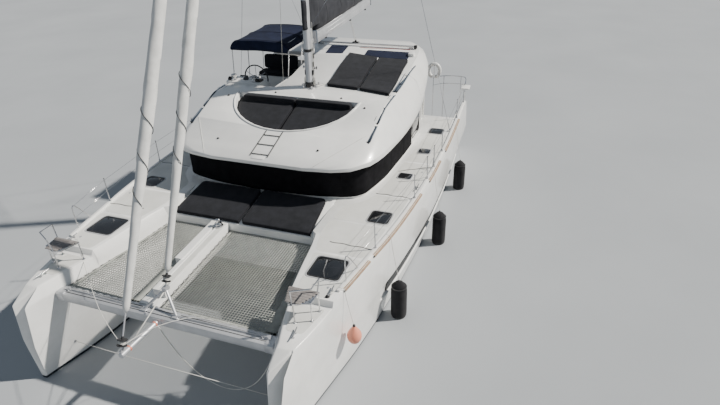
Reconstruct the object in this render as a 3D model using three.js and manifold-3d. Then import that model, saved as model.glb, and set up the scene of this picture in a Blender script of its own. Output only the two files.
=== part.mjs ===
// A cruising sailing catamaran afloat: two decked hulls, a hollow saloon, a rig with furled sails.
// Frame: +X to the bows, +Y to port, +Z up, in millimetres. z = 0 is the waterline, x = 0 amidships.
import * as THREE from "three";
import { mergeVertices } from "three/addons/utils/BufferGeometryUtils.js";
import Module from "manifold-3d";

const wasm = await Module();
wasm.setup();

// Driving dimensions
const GAP = 0.3;
const STEM_X = 6985;
const TRANSOM_X = -6950;
const DECK_Z = 2150;
const BOW_DECK_Z = 2010;
const BULWARK = 180;
const BRIDGE_Y = 1900;
const BRIDGE_LOW = 850;
const BRIDGE_FRONT = 3160;
const BRIDGE_AFT = -6200;
const SOLE_Z = 1250;
const CHINE_Z = 1000;
const NET_Z = 1745;
const NET_THICK = 12;
const NET_MARGIN = 40;
const SALOON_AFT = -3000;
const WALL = 60;
const WALL_TOP = 3020;
const MAST_X = -1340;
const MAST_FOOT = 3880;
const MAST_TOP = 20000;
const MAST_RAKE = 0.0175;
const GOOSENECK_X = -1640;
const GOOSENECK_Z = 5110;
const BOOM_END = -6650;
const DRIVE_Y = 2890;
const RUDDER_X = -5950;
const SHAFT_Z = -640;
const SHAFT = 20;
const STOCK = 30;
const PIN_SIDES = 24;
const PIN_GAP = 0.75;
const HELM_FLOOR = 3100;
const LID_THICK = 36;
const LID_PROUD = 8;
const LID_GAP = 6;

// Finishes: colour, roughness, metalness
const FINISH = {
  gelcoat: [0xf2f1ed, 0.3, 0],
  alloy: [0xc4c6c8, 0.35, 0.9],
  steel: [0xd0d2d4, 0.2, 1],
  charcoal: [0x33343a, 0.9, 0],
  black: [0x141416, 0.6, 0],
  orange: [0xd9755a, 0.4, 0],
  navy: [0x1c2540, 0.85, 0],
  sailcloth: [0xe9e9e6, 0.7, 0],
  net: [0xb4b6ae, 0.8, 0],
  smoked: [0x101418, 0.08, 0],
  teak: [0x9c7a52, 0.6, 0],
  engine: [0x8a2f28, 0.5, 0.3],
  bronze: [0xa8793c, 0.35, 0.9],
  antifoul: [0x20242c, 0.8, 0],
};

const boat = new THREE.Group();

function add(name, solid, finish) {
  const [color, roughness, metalness] = FINISH[finish];
  const material = new THREE.MeshStandardMaterial({ color, roughness, metalness });
  const mesh = new THREE.Mesh(geometryOf(solid), material);
  mesh.name = name;
  boat.add(mesh);
}

function solidOf(geometry) {
  const bare = geometry.clone();
  bare.deleteAttribute("normal");
  bare.deleteAttribute("uv");
  const merged = mergeVertices(bare);
  const vertProperties = new Float32Array(merged.attributes.position.array);
  const triVerts = new Uint32Array(merged.index.array);
  return new wasm.Manifold(new wasm.Mesh({ numProp: 3, vertProperties, triVerts }));
}

function geometryOf(solid) {
  const mesh = solid.getMesh();
  const geometry = new THREE.BufferGeometry();
  const position = new THREE.BufferAttribute(new Float32Array(mesh.vertProperties), 3);
  geometry.setAttribute("position", position);
  geometry.setIndex(new THREE.BufferAttribute(new Uint32Array(mesh.triVerts), 1));
  geometry.computeVertexNormals();
  return geometry;
}

function join(...solids) {
  return solids.reduce((whole, piece) => whole.add(piece));
}

function cut(solid, ...tools) {
  return tools.reduce((rest, tool) => rest.subtract(tool), solid);
}

// A closed surface from points and faces, turned inside out if its faces point in
function closed(points, faces) {
  let volume = 0;
  for (const [a, b, c] of faces) {
    volume += points[a].dot(points[b].clone().cross(points[c]));
  }
  const order = volume < 0 ? ([a, b, c]) => [a, c, b] : (face) => face;
  const geometry = new THREE.BufferGeometry().setFromPoints(points);
  geometry.setIndex(faces.flatMap(order));
  return solidOf(geometry);
}

// Skins a row of rings with equal numbers of points and closes both ends; flat gives a ring's 2D
// view, and a convex ring needs none
function loft(rings, flat) {
  const count = rings[0].length;
  const faces = [];
  for (let r = 0; r + 1 < rings.length; r++) {
    for (let i = 0; i < count; i++) {
      const a = r * count + i;
      const b = r * count + ((i + 1) % count);
      faces.push([a, b, b + count], [a, b + count, a + count]);
    }
  }
  const last = (rings.length - 1) * count;
  for (const face of capFaces(rings[0], flat)) faces.push([face[0], face[2], face[1]]);
  for (const face of capFaces(rings[rings.length - 1], flat)) faces.push(face.map((i) => i + last));
  return closed(rings.flat(), faces);
}

// Triangles over a ring, wound the same way as the ring runs
function capFaces(ring, flat) {
  if (!flat) return ring.slice(2).map((p, i) => [0, i + 1, i + 2]);
  const outline = ring.map(flat);
  const turns = THREE.ShapeUtils.area(outline) > 0;
  const faces = THREE.ShapeUtils.triangulateShape(outline, []);
  return faces.map(([a, b, c]) => {
    const [p, q, s] = [outline[a], outline[b], outline[c]];
    const area = (q.x - p.x) * (s.y - p.y) - (q.y - p.y) * (s.x - p.x);
    return area > 0 === turns ? [a, b, c] : [a, c, b];
  });
}

const acrossX = (p) => new THREE.Vector2(p.y, p.z);
const fromAbove = (p) => new THREE.Vector2(p.x, p.y);
const ringAt = (x, outline) => outline.map(([y, z]) => new THREE.Vector3(x, y, z));
const mirrored = (half) => [...half, ...half.map(([y, z]) => [-y, z]).reverse()];

// The space over a plan outline between two heights, each a number or a function of x
function slab(outline, low, high) {
  const height = (level, x) => (typeof level === "function" ? level(x) : level);
  const ring = (level) => outline.map(([x, y]) => new THREE.Vector3(x, y, height(level, x)));
  return loft([ring(low), ring(high)], fromAbove);
}

function box(x0, x1, y0, y1, z0, z1) {
  const size = [Math.abs(x1 - x0), Math.abs(y1 - y0), Math.abs(z1 - z0)];
  const geometry = new THREE.BoxGeometry(...size);
  return solidOf(geometry.translate((x0 + x1) / 2, (y0 + y1) / 2, (z0 + z1) / 2));
}

// An outline in a plane across one axis, extruded along that axis
function prism(outline, axis, from, to) {
  const place = axis === "x" ? (d, [y, z]) => [d, y, z] : (d, [x, z]) => [x, d, z];
  const flat = axis === "x" ? acrossX : (p) => new THREE.Vector2(p.x, p.z);
  return loft([from, to].map((d) => outline.map((p) => vec(place(d, p)))), flat);
}

function vec([x, y, z]) {
  return new THREE.Vector3(x, y, z);
}

// A ring in a plane across a direction
function ringAbout(centre, direction, radius, sides) {
  const aside = Math.abs(direction.x) > 0.9 ? [0, 0, 1] : [1, 0, 0];
  const u = direction.clone().cross(vec(aside)).normalize();
  const v = direction.clone().cross(u);
  return Array.from({ length: sides }, (_, i) => {
    const angle = (2 * Math.PI * i) / sides;
    const [along, across] = [radius * Math.cos(angle), radius * Math.sin(angle)];
    return centre.clone().addScaledVector(u, along).addScaledVector(v, across);
  });
}

// A body of revolution from point a towards point b; its profile lists distance and radius
function turned(a, b, profile, sides) {
  const direction = vec(b).sub(vec(a)).normalize();
  const at = (distance) => vec(a).addScaledVector(direction, distance);
  return loft(profile.map(([distance, radius]) => ringAbout(at(distance), direction, radius, sides)));
}

// A bent tube, mitred at its bends
function pipe(points, radius, sides = 8) {
  const line = points.map(vec);
  const legs = line.slice(1).map((p, i) => p.clone().sub(line[i]).normalize());
  const rings = [ringAbout(line[0], legs[0], radius, sides)];
  legs.forEach((leg, i) => {
    const across = leg.clone().add(legs[i + 1] ?? leg);
    const slide = (p) => across.dot(line[i + 1].clone().sub(p)) / across.dot(leg);
    rings.push(rings[i].map((p) => p.clone().addScaledVector(leg, slide(p))));
  });
  return loft(rings);
}

function rod(a, b, radius, sides = 8) {
  return pipe([a, b], radius, sides);
}

// A table with more rows set in on monotone curves, so that no two lie further apart than a spacing
function finer(rows, spacing) {
  const columns = Object.keys(rows[0]).filter((name) => name !== "x");
  const steps = rows.slice(1).map((row, i) => row.x - rows[i].x);
  const slopes = Object.fromEntries(
    columns.map((name) => {
      const steep = steps.map((step, i) => (rows[i + 1][name] - rows[i][name]) / step);
      const slope = (i) => {
        const [a, b] = [steep[i - 1] ?? steep[i], steep[i] ?? steep[i - 1]];
        return a * b <= 0 ? 0 : (2 * a * b) / (a + b);
      };
      return [name, rows.map((row, i) => slope(i))];
    }),
  );
  const fine = steps.flatMap((step, i) => {
    const count = Math.ceil(Math.abs(step) / spacing);
    const shares = Array.from({ length: count }, (_, k) => k / count);
    return shares.map((t) => {
      const set = columns.map((name) => {
        const [a, b] = [rows[i][name], rows[i + 1][name]];
        const [da, db] = [slopes[name][i] * step, slopes[name][i + 1] * step];
        const bend = (1 - t) * (1 - t) * (a + t * (2 * a + da)) + t * t * (b + (1 - t) * (2 * b - db));
        return [name, bend];
      });
      return { x: rows[i].x + t * step, ...Object.fromEntries(set) };
    });
  });
  return [...fine, rows[rows.length - 1]];
}

// Value of a column of a table at x, between its rows
function along(rows, column, x) {
  const i = Math.max(1, rows.findIndex((row) => row.x <= x));
  const [a, b] = [rows[i - 1], rows[i]];
  return b[column] + ((a[column] - b[column]) * (x - b.x)) / (a.x - b.x);
}

function table(columns, rows) {
  return rows.map((row) => Object.fromEntries(columns.map((name, i) => [name, row[i]])));
}

// Port hull, bow to stern. deckX is where the deck of that section lies; in and out are the deck's
// edges, bevel the foot of the inner bevel, mid the inner side, chine the fold outside, ledge how far
// the window strip under it is sunk, wl the waterline
const HULL_ROWS = table(
  ["x", "deckX", "deckZ", "in", "out", "bevel", "mid", "chine", "ledge", "wlOut", "wlIn", "keelZ"],
  [
    [STEM_X, 6450, BOW_DECK_Z - 10, 2650, 2960, 2640, 2640, 2880, 0, 2780, 2650, -260],
    [6600, 6330, BOW_DECK_Z - 5, 2630, 3000, 2560, 2560, 2970, 0, 2860, 2560, -400],
    [6100, 6100, BOW_DECK_Z, 2560, 3060, 2430, 2430, 3030, 0, 2930, 2420, -480],
    [5300, 5300, BOW_DECK_Z + 10, 2340, 3205, 2260, 2260, 3170, 0, 3080, 2270, -540],
    [5240, 5240, DECK_Z, 2330, 3215, 2250, 2250, 3180, 0, 3090, 2265, -545],
    [4400, 4400, DECK_Z, 2200, 3360, 2080, 2080, 3330, 0, 3240, 2180, -600],
    [3250, 3250, DECK_Z, 2010, 3540, 1920, 1940, 3520, 0, 3390, 2150, -650],
    [BRIDGE_FRONT, BRIDGE_FRONT, DECK_Z, BRIDGE_Y, 3560, BRIDGE_Y, BRIDGE_Y, 3540, 1, 3400, 2150, -655],
    [2000, 2000, DECK_Z, BRIDGE_Y, 3700, BRIDGE_Y, BRIDGE_Y, 3690, 1, 3500, 2150, -670],
    [500, 500, DECK_Z, BRIDGE_Y, 3810, BRIDGE_Y, BRIDGE_Y, 3805, 1, 3580, 2150, -680],
    [-700, -700, DECK_Z, BRIDGE_Y, 3850, BRIDGE_Y, BRIDGE_Y, 3848, 1, 3620, 2150, -670],
    [-2000, -2000, DECK_Z, BRIDGE_Y, 3850, BRIDGE_Y, BRIDGE_Y, 3848, 1, 3620, 2160, -620],
    [-3700, -3700, DECK_Z, BRIDGE_Y, 3810, BRIDGE_Y, BRIDGE_Y, 3805, 1, 3580, 2200, -450],
    [-4980, -4980, DECK_Z, BRIDGE_Y, 3760, BRIDGE_Y, BRIDGE_Y, 3755, 1, 3520, 2260, -280],
    [-5060, -5060, DECK_Z, BRIDGE_Y, 3757, BRIDGE_Y, BRIDGE_Y, 3752, 0, 3516, 2266, -272],
    [BRIDGE_AFT, BRIDGE_AFT, DECK_Z, BRIDGE_Y, 3720, BRIDGE_Y, BRIDGE_Y, 3715, 0, 3440, 2330, -120],
    [BRIDGE_AFT - 40, BRIDGE_AFT - 40, DECK_Z, 2260, 3718, 2260, 2260, 3713, 0, 3435, 2335, -115],
    [TRANSOM_X, TRANSOM_X, DECK_Z, 2300, 3690, 2300, 2300, 3680, 0, 3400, 2380, -60],
  ],
);
const STATION_STEP = 520;
const HULL = finer(HULL_ROWS, STATION_STEP);
const deckZ = (x) => along(HULL, "deckZ", x);
const outY = (x) => along(HULL, "out", x);
const bevelY = (x) => along(HULL, "bevel", x);

// The hull's window strip: its top and bottom, its depth, and how far the ledge under it stands out
const STRIP = { high: 980, low: 630, deep: 26, ledge: 24 };
const topsideY = (row, z) => row.wlOut + ((row.chine - row.wlOut) * z) / CHINE_Z;

// One cross section of a hull, from the deck's inner edge round by the outside and the keel
function hullRing(row, side) {
  const shoulderX = row.deckX + 0.766 * (row.x - row.deckX);
  const shoulderZ = row.deckZ - 230;
  const width = row.wlOut - row.wlIn;
  const bottom = [[1, 0], [0.93, 0.52], [0.74, 0.86], [0.5, 1], [0.26, 0.86], [0.07, 0.52], [0, 0]];
  const points = [
    [row.deckX, row.in, row.deckZ],
    [row.deckX, row.out, row.deckZ],
    [shoulderX, row.out + 4, shoulderZ],
    [row.x, row.chine, CHINE_Z],
    [row.x, topsideY(row, STRIP.high) - row.ledge * STRIP.deep, STRIP.high],
    [row.x, topsideY(row, STRIP.low) - row.ledge * STRIP.deep, STRIP.low],
    [row.x, topsideY(row, STRIP.low - 30) + row.ledge * STRIP.ledge, STRIP.low - 30],
    [row.x, topsideY(row, 400) + row.ledge * 6, 400],
    ...bottom.map(([share, deep]) => [row.x, row.wlIn + share * width, deep * row.keelZ]),
    [row.x, row.mid, BRIDGE_LOW],
    [shoulderX, row.bevel, shoulderZ],
  ];
  return points.map(([x, y, z]) => new THREE.Vector3(x, side * y, z));
}

// Treads of the stern steps: where each starts and its height
const STEPS = table(
  ["x", "z"],
  [
    [-4450, 1800],
    [-4800, 1450],
    [-5750, 1100],
    [-6050, 760],
    [-6350, 420],
  ],
);

// Deck hatches: centre, length and width; z is the deck they lie in
const HATCHES = table(
  ["name", "x", "y", "long", "wide", "z"],
  [
    ["fore", 4335, 2735, 690, 690, DECK_Z],
    ["mid", 2200, 3150, 520, 500, DECK_Z],
    ["aft", -3165, 3300, 430, 430, DECK_Z],
    ["engine", -5290, 2940, 820, 860, STEPS[1].z],
  ],
);

function rudderFoil(grow) {
  const half = [[150, 32], [40, 46], [-120, 40], [-360, 6]];
  const outline = [[190, 0], ...half, ...half.map(([x, y]) => [x, -y]).reverse()];
  return outline.map(([x, y]) => [x * grow, y * grow]);
}

// Saildrive leg in plan, grown by a margin for its seat in the hull
function legOutline(margin, side) {
  const half = [[-5080, 12], [-5000, 42], [-4900, 48], [-4850, 26]];
  const outline = [...half, ...half.map(([x, y]) => [x, -y]).reverse()];
  const middle = -4965;
  return outline.map(([x, y]) => [
    x + Math.sign(x - middle) * margin,
    side * DRIVE_Y + y + Math.sign(y) * margin,
  ]);
}

function hull(side) {
  const body = loft(HULL.map((row) => hullRing(row, side)), acrossX);
  const keel = prism(
    [[1250, -500], [900, -1300], [-1250, -1300], [-1600, -500]],
    "y",
    side * 2870 - 110,
    side * 2870 + 110,
  );
  const saloon = box(SALOON_AFT, 1200, 0, side * 2400, SOLE_Z, 4000);
  const cockpit = box(BRIDGE_AFT - 60, SALOON_AFT + 1, 0, side * 2300, SOLE_Z, 4000);
  const tools = [saloon, cockpit];
  STEPS.forEach((step) => {
    const bulwark = outY(step.x) - BULWARK;
    tools.push(box(TRANSOM_X - 100, step.x, side * 1000, side * bulwark, step.z, 4000));
  });
  // The bulwark's top slopes down over the last stretch
  const aft = TRANSOM_X - 50;
  const slope = [[-6150, 2200], [-6250, 2100], [TRANSOM_X + 60, 900], [aft, 500], [aft, 2200]];
  tools.push(prism(slope, "y", Math.min(0, side * 4200), Math.max(0, side * 4200)));
  for (const hatch of HATCHES) {
    const seat = LID_THICK - LID_PROUD + GAP;
    tools.push(around(hatch, side, LID_GAP, hatch.z - seat, hatch.z + 100));
    const deep = hatch.name === "engine" ? 150 : hatch.z - 400;
    tools.push(around(hatch, side, -40, deep, hatch.z));
  }
  tools.push(slab(legOutline(0.6, side), -700, -200 + GAP));
  const stock = (z) => [RUDDER_X, side * DRIVE_Y, z];
  tools.push(rod(stock(-400), stock(153), STOCK + PIN_GAP, PIN_SIDES));
  return cut(body.add(keel), ...tools);
}

// A box over a hatch's plan, grown by a margin
function around(hatch, side, margin, z0, z1) {
  const [x, y] = [hatch.long / 2 + margin, hatch.wide / 2 + margin];
  const middle = side * hatch.y;
  return box(hatch.x - x, hatch.x + x, middle - y, middle + y, z0, z1);
}

function hatchLid(hatch, side) {
  const low = hatch.z - LID_THICK + LID_PROUD;
  return around(hatch, side, 0, low, hatch.z + LID_PROUD);
}

function engine(side) {
  return box(-5560, -4960, side * DRIVE_Y - 250, side * DRIVE_Y + 250, 150 + GAP, 760);
}

function saildrive(side) {
  const y = side * DRIVE_Y;
  const leg = slab(legOutline(0, side), SHAFT_Z, -200);
  const profile = [[0, 20], [40, 55], [140, 78], [360, 78], [460, 58]];
  const pod = turned([-4760, y, SHAFT_Z], [-5220, y, SHAFT_Z], profile, 14);
  return join(leg, pod, rod([-5210, y, SHAFT_Z], [-5320, y, SHAFT_Z], SHAFT, PIN_SIDES));
}

function propeller(side) {
  const y = side * DRIVE_Y;
  const profile = [[0, 56], [100, 56], [160, 30], [170, 12]];
  const hub = turned([-5226, y, SHAFT_Z], [-5400, y, SHAFT_Z], profile, 14);
  const outline = [[-28, 30], [-62, 120], [-52, 205], [0, 228], [52, 205], [62, 120], [28, 30]];
  const shape = new THREE.Shape(outline.map((p) => new THREE.Vector2(...p)));
  const blades = [0, 120, 240].map((degrees) => {
    const blade = new THREE.ExtrudeGeometry(shape, { depth: 9, bevelEnabled: false });
    blade.translate(0, 0, -4.5).rotateY(Math.PI / 2 - 0.9).rotateX((degrees * Math.PI) / 180);
    return solidOf(blade.translate(-5276, y, SHAFT_Z));
  });
  const bore = rod([-5200, y, SHAFT_Z], [-5326, y, SHAFT_Z], SHAFT + PIN_GAP, PIN_SIDES);
  return cut(join(hub, ...blades), bore);
}

function rudder(side) {
  const y = side * DRIVE_Y;
  const place = ([dx, dy]) => [RUDDER_X + dx, y + dy];
  const rings = [[-235, 1], [-700, 0.92], [-1150, 0.7]].map(([z, grow]) =>
    rudderFoil(grow).map(place).map(([px, py]) => new THREE.Vector3(px, py, z)),
  );
  return join(loft(rings, fromAbove), rod([RUDDER_X, y, -300], [RUDDER_X, y, 150], STOCK, PIN_SIDES));
}

for (const [name, side] of [["port", 1], ["starboard", -1]]) {
  add(`hull_${name}`, hull(side), "gelcoat");
  for (const hatch of HATCHES) {
    const lid = hatch.name === "engine" ? `engine_hatch_${name}` : `hatch_${hatch.name}_${name}`;
    add(lid, hatchLid(hatch, side), hatch.name === "engine" ? "gelcoat" : "smoked");
  }
  add(`engine_${name}`, engine(side), "engine");
  add(`saildrive_${name}`, saildrive(side), "alloy");
  add(`propeller_${name}`, propeller(side), "bronze");
  add(`rudder_${name}`, rudder(side), "antifoul");
}

// Bridgedeck: sole of saloon and cockpit, with the raised foredeck that carries the fore pads
const FOREDECK = [[BRIDGE_FRONT, 1950], [1900, 2185]];
const foredeckZ = (x) => FOREDECK[0][1] + ((FOREDECK[0][0] - x) * 235) / 1260;
const bridgeSide = [
  [BRIDGE_AFT, BRIDGE_LOW],
  [BRIDGE_FRONT, BRIDGE_LOW],
  ...FOREDECK,
  [1880, DECK_Z],
  [1500, DECK_Z],
  [1500, SOLE_Z],
  [BRIDGE_AFT, SOLE_Z],
];
add("bridgedeck", prism(bridgeSide, "y", -BRIDGE_Y + GAP, BRIDGE_Y - GAP), "gelcoat");

// Cabin outline from the middle of the front round to the port side
const CABIN = [
  [1840, 0],
  [1800, 1000],
  [1740, 1500],
  [1620, 2060],
  [1510, 2310],
  [1310, 2480],
  [800, 2600],
  [250, 2700],
  [-1300, 2800],
  [-3000, 2830],
];

// The cabin's plan outline pushed out by an offset and closed at its aft end
function cabinPlan(offset, aft) {
  const pushed = CABIN.map(([x, y], i) => {
    const [px, py] = CABIN[i - 1] ?? [CABIN[1][0], -CABIN[1][1]];
    const [nx, ny] = CABIN[i + 1] ?? [2 * x - px, 2 * y - py];
    const length = Math.hypot(nx - px, ny - py);
    return [x + (offset * (ny - py)) / length, y - (offset * (nx - px)) / length];
  });
  const kept = pushed.filter(([x]) => x > aft);
  const [a, b] = [kept[kept.length - 1], pushed[kept.length] ?? pushed[pushed.length - 1]];
  const y = a[1] + ((b[1] - a[1]) * (a[0] - aft)) / Math.max(1, a[0] - b[0]);
  const port = [...kept, [aft, y]];
  const starboard = port.slice(1).reverse().map(([px, py]) => [px, -py]);
  return [...port, ...starboard];
}

// A strip round the cabin between two offsets, open at its aft end
function cabinBand(inner, outer, z0, z1, aft) {
  return cut(slab(cabinPlan(outer, aft), z0, z1), slab(cabinPlan(inner, aft - 500), z0 - 10, z1 + 10));
}

const WINDOW_LOW = 2380;
const WINDOW_HIGH = 2920;
const FRONT_PANES = [[-1950, -720], [-620, 620], [720, 1950]];
const SIDE_PANES = [[-900, 1050], [-2700, -1050]];

const pane = (x0, x1, y0, y1) => box(x0, x1, y0, y1, WINDOW_LOW, WINDOW_HIGH);
const panes = [
  ...FRONT_PANES.map(([y0, y1]) => pane(1450, 2000, y0, y1)),
  ...SIDE_PANES.flatMap(([x0, x1]) => [1, -1].map((side) => pane(x0, x1, side * 2300, side * 3000))),
];
const wall = cabinBand(-WALL, 0, DECK_Z + GAP, WALL_TOP - GAP, SALOON_AFT + 70);
add("cabin_wall", cut(wall, ...panes), "gelcoat");
add("cabin_glass", cabinBand(GAP, 7.7, DECK_Z + 150, WALL_TOP - 40, -2800), "smoked");
add("window_cover", cabinBand(8, 20, DECK_Z + 60, WALL_TOP - 30, -1900), "black");

// Roof, front to back. edge is the half width, low and edgeZ the rim, shoulder and crown the bends
// of the top, hollow and ceiling the half width and height of the space under it
const ROOF_ROWS = table(
  ["x", "edge", "low", "edgeZ", "shoulder", "shoulderZ", "crown", "crownZ", "hollow", "ceiling"],
  [
    [2100, 1250, WALL_TOP, 3085, 1200, 3098, 1150, 3105, 0, 0],
    [2000, 1900, WALL_TOP, 3095, 1800, 3122, 1700, 3135, 0, 0],
    [1830, 2320, WALL_TOP, 3110, 2180, 3165, 2080, 3187, 0, 0],
    [1690, 2440, WALL_TOP, 3117, 2290, 3195, 2165, 3230, 1350, 3040],
    [1410, 2670, WALL_TOP, 3130, 2500, 3255, 2330, 3316, 2080, 3110],
    [780, 2840, WALL_TOP, 3150, 2640, 3380, 2430, 3509, 2450, 3170],
    [130, 2910, WALL_TOP, 3160, 2700, 3490, 2470, 3708, 2560, 3360],
    [-370, 2950, WALL_TOP, 3170, 2720, 3590, 2480, 3861, 2590, 3520],
    [-1200, 2970, WALL_TOP, 3180, 2740, 3640, 2480, MAST_FOOT, 2600, 3640],
    [-1600, 2955, WALL_TOP, 3190, 2740, 3665, 2480, MAST_FOOT, 2600, 3640],
    [-3000, 2860, WALL_TOP, 3260, 2700, 3800, 2460, 4060, 2600, 3920],
    [-3500, 2810, 3180, 3370, 2660, 3860, 2430, 4095, 2560, 3990],
    [-4200, 2730, 3420, 3600, 2600, 3950, 2380, 4150, 2470, 4040],
    [-5000, 2560, 3560, 3740, 2450, 4030, 2260, 4190, 2280, 4080],
    [-5400, 2380, 3640, 3810, 2280, 4060, 2100, 4190, 2100, 4080],
    [-5700, 2100, 3690, 3850, 2010, 4070, 1880, 4185, 1800, 4070],
    [-5900, 1860, 3720, 3870, 1800, 4070, 1700, 4180, 0, 0],
  ],
);
const ROOF = finer(ROOF_ROWS, 420);
const roofZ = (x) => along(ROOF, "crownZ", x);

const HELM = { fore: -1050, aft: -3950, inner: -950 };
const PILLARS = table(
  ["x", "y", "foot", "top"],
  [
    [-4120, 2540, DECK_Z, 3450],
    [-5150, 2390, STEPS[1].z, 3700],
  ],
);

// The lounge ahead of the mast is a half ellipse in plan, its straight side aft. Its floor is one
// plane under the roof's forward slope, which is carried on
const LOUNGE = { x: -450, long: 1380, half: 1760, deep: 240, pad: 120 };

const loungeZ = (x) => 3105 + 0.306 * (2100 - x);

function loungePlan(inset) {
  const [long, half] = [LOUNGE.long - 2 * inset, LOUNGE.half - inset];
  const steps = 16;
  return Array.from({ length: steps + 1 }, (_, i) => {
    const angle = (i / steps - 0.5) * Math.PI;
    return [LOUNGE.x + inset + long * Math.cos(angle), half * Math.sin(angle)];
  });
}

function coachroof() {
  const outline = (row) => [
    [row.edge, row.low],
    [row.edge, row.edgeZ],
    [row.shoulder, row.shoulderZ],
    [row.crown, row.crownZ],
  ];
  const skin = loft(ROOF.map((row) => ringAt(row.x, mirrored(outline(row)))), acrossX);
  const hollow = (row) => [
    [row.hollow, 2800],
    [row.hollow, row.ceiling < 3300 ? Math.max(2900, row.ceiling - 40) : row.ceiling - 180],
    [row.hollow - 220, row.ceiling],
  ];
  const roofed = ROOF_ROWS.filter((row) => row.hollow);
  const space = loft(roofed.map((row) => ringAt(row.x, mirrored(hollow(row)))), acrossX);
  const recess = slab(loungePlan(0), (x) => loungeZ(x) - LOUNGE.deep, (x) => loungeZ(x) + 400);
  const well = box(HELM.aft, HELM.fore, HELM.inner, -4000, 2800, 5000);
  const pillars = PILLARS.flatMap(({ x, y, foot, top }) =>
    [y, -y].map((middle) => box(x - 60, x + 60, middle - 45, middle + 45, foot + GAP, top)),
  );
  return join(cut(skin, space, recess, well), ...pillars);
}

add("coachroof", coachroof(), "gelcoat");

for (const [name, side] of [["port", 1], ["starboard", -1]]) {
  const keep = box(-3000, 3000, side * 6, side * 4000, 0, 6000);
  const floor = (x) => loungeZ(x) - LOUNGE.deep + GAP;
  const whole = slab(loungePlan(25), floor, (x) => floor(x) + LOUNGE.pad);
  add(`lounge_pad_${name}`, whole.intersect(keep), "charcoal");
}

// Fore pads on the sloping foredeck
for (const [name, side] of [["port", 1], ["starboard", -1]]) {
  const plan = [[1915, 8], [3140, 8], [3140, 1830], [1915, 1735]].map(([x, y]) => [x, side * y]);
  add(`fore_pad_${name}`, slab(plan, (x) => foredeckZ(x) + GAP, (x) => foredeckZ(x) + 90), "charcoal");
}

// Sun pads on the aft roof, to port of the helm: the plan's corners, fore inner edge first
const ROOF_PADS = {
  port: [[-1320, 1440], [-1090, 2400], [-3660, 2250], [-3700, 1290]],
  starboard: [[-1450, 420], [-1330, 1410], [-3710, 1260], [-3960, 220]],
};
const ROOF_PAD_THICK = 90;

// A layer on the roof's crown from x to x, following the roof's bends
function roofLayer(fore, aft, half, thick) {
  const xs = [fore, ...ROOF.map((row) => row.x).filter((x) => x < fore && x > aft), aft];
  const ring = (x) => {
    const low = roofZ(x) + GAP;
    return ringAt(x, mirrored([[half, low], [half, low + thick]]));
  };
  return loft(xs.map(ring));
}
for (const [name, plan] of Object.entries(ROOF_PADS)) {
  const layer = roofLayer(-1000, -4100, 2440, ROOF_PAD_THICK);
  add(`roof_pad_${name}`, layer.intersect(slab(plan, 3000, 5000)), "charcoal");
}

// Traveller bar across the aft roof on two feet
const TRAVELLER = { x: -4900, low: 4240, high: 4290 };
const travellerFeet = [-1130, 2000].map((y) => {
  const [x0, x1] = [TRAVELLER.x - 60, TRAVELLER.x + 60];
  return box(x0, x1, y - 60, y + 60, roofZ(x0) + GAP, TRAVELLER.low + 10);
});
const travellerBar = box(TRAVELLER.x - 40, TRAVELLER.x + 40, -1250, 2180, TRAVELLER.low, TRAVELLER.high);
add("traveller", join(travellerBar, ...travellerFeet), "alloy");

// Aft bulkhead of the saloon, with the doorway and a window beside it
const DOOR = { y0: -850, y1: 50, z1: 3080, travel: 900 };
const bulkhead = [
  [-2395, SOLE_Z + GAP],
  [2395, SOLE_Z + GAP],
  [2395, 3700],
  [-930, 3700],
  [-930, WALL_TOP - 10],
  [-2395, WALL_TOP - 10],
];
const trackEnds = [DOOR.y0 - 30, DOOR.y1 + 30 + DOOR.travel];
const doorTrack = box(SALOON_AFT - 44, SALOON_AFT + 10, ...trackEnds, SOLE_Z + GAP, SOLE_Z + 7.5);
add(
  "aft_bulkhead",
  cut(
    join(prism(bulkhead, "x", SALOON_AFT + 5, SALOON_AFT + 60), doorTrack),
    box(SALOON_AFT - 50, SALOON_AFT + 100, DOOR.y0, DOOR.y1, SOLE_Z + 40, DOOR.z1 - 90),
    box(SALOON_AFT - 50, SALOON_AFT + 100, 250, 2150, 1750, 2950),
  ),
  "gelcoat",
);

// Sliding door on the aft face of the bulkhead
const door = box(SALOON_AFT - 40, SALOON_AFT - 2, DOOR.y0 - 30, DOOR.y1 + 30, SOLE_Z + 8, DOOR.z1 - 60);
add("saloon_door", door, "smoked");

// Helm station: floor, inboard wall, end walls, low outer coaming and the console with its shaft
const WHEEL = { x: -1960, y: -2100, z: 3790, radius: 390, shaft: 28 };
const consoleSide = [
  [-1130, HELM_FLOOR - 10],
  [-1130, 3900],
  [-1500, 3950],
  [-1800, 3700],
  [-1720, HELM_FLOOR - 10],
];
const helmParts = [
  box(HELM.aft + 8, HELM.fore - 8, -2930, HELM.inner - 8, WALL_TOP + GAP, HELM_FLOOR),
  box(HELM.aft + 8, HELM.fore - 8, HELM.inner - 88, HELM.inner - 8, HELM_FLOOR - 10, 3860),
  box(HELM.fore - 88, HELM.fore - 8, -2930, HELM.inner - 8, HELM_FLOOR - 10, 3700),
  box(HELM.aft + 8, HELM.aft + 88, -2750, HELM.inner - 8, HELM_FLOOR - 10, 3860),
  box(HELM.aft + 8, HELM.fore - 8, -2930, -2850, HELM_FLOOR - 10, 3330),
  prism(consoleSide, "y", -2640, -1560),
  rod([-1700, WHEEL.y, WHEEL.z], [-1905, WHEEL.y, WHEEL.z], WHEEL.shaft, PIN_SIDES),
];
add("helm_station", join(...helmParts), "gelcoat");

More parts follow.
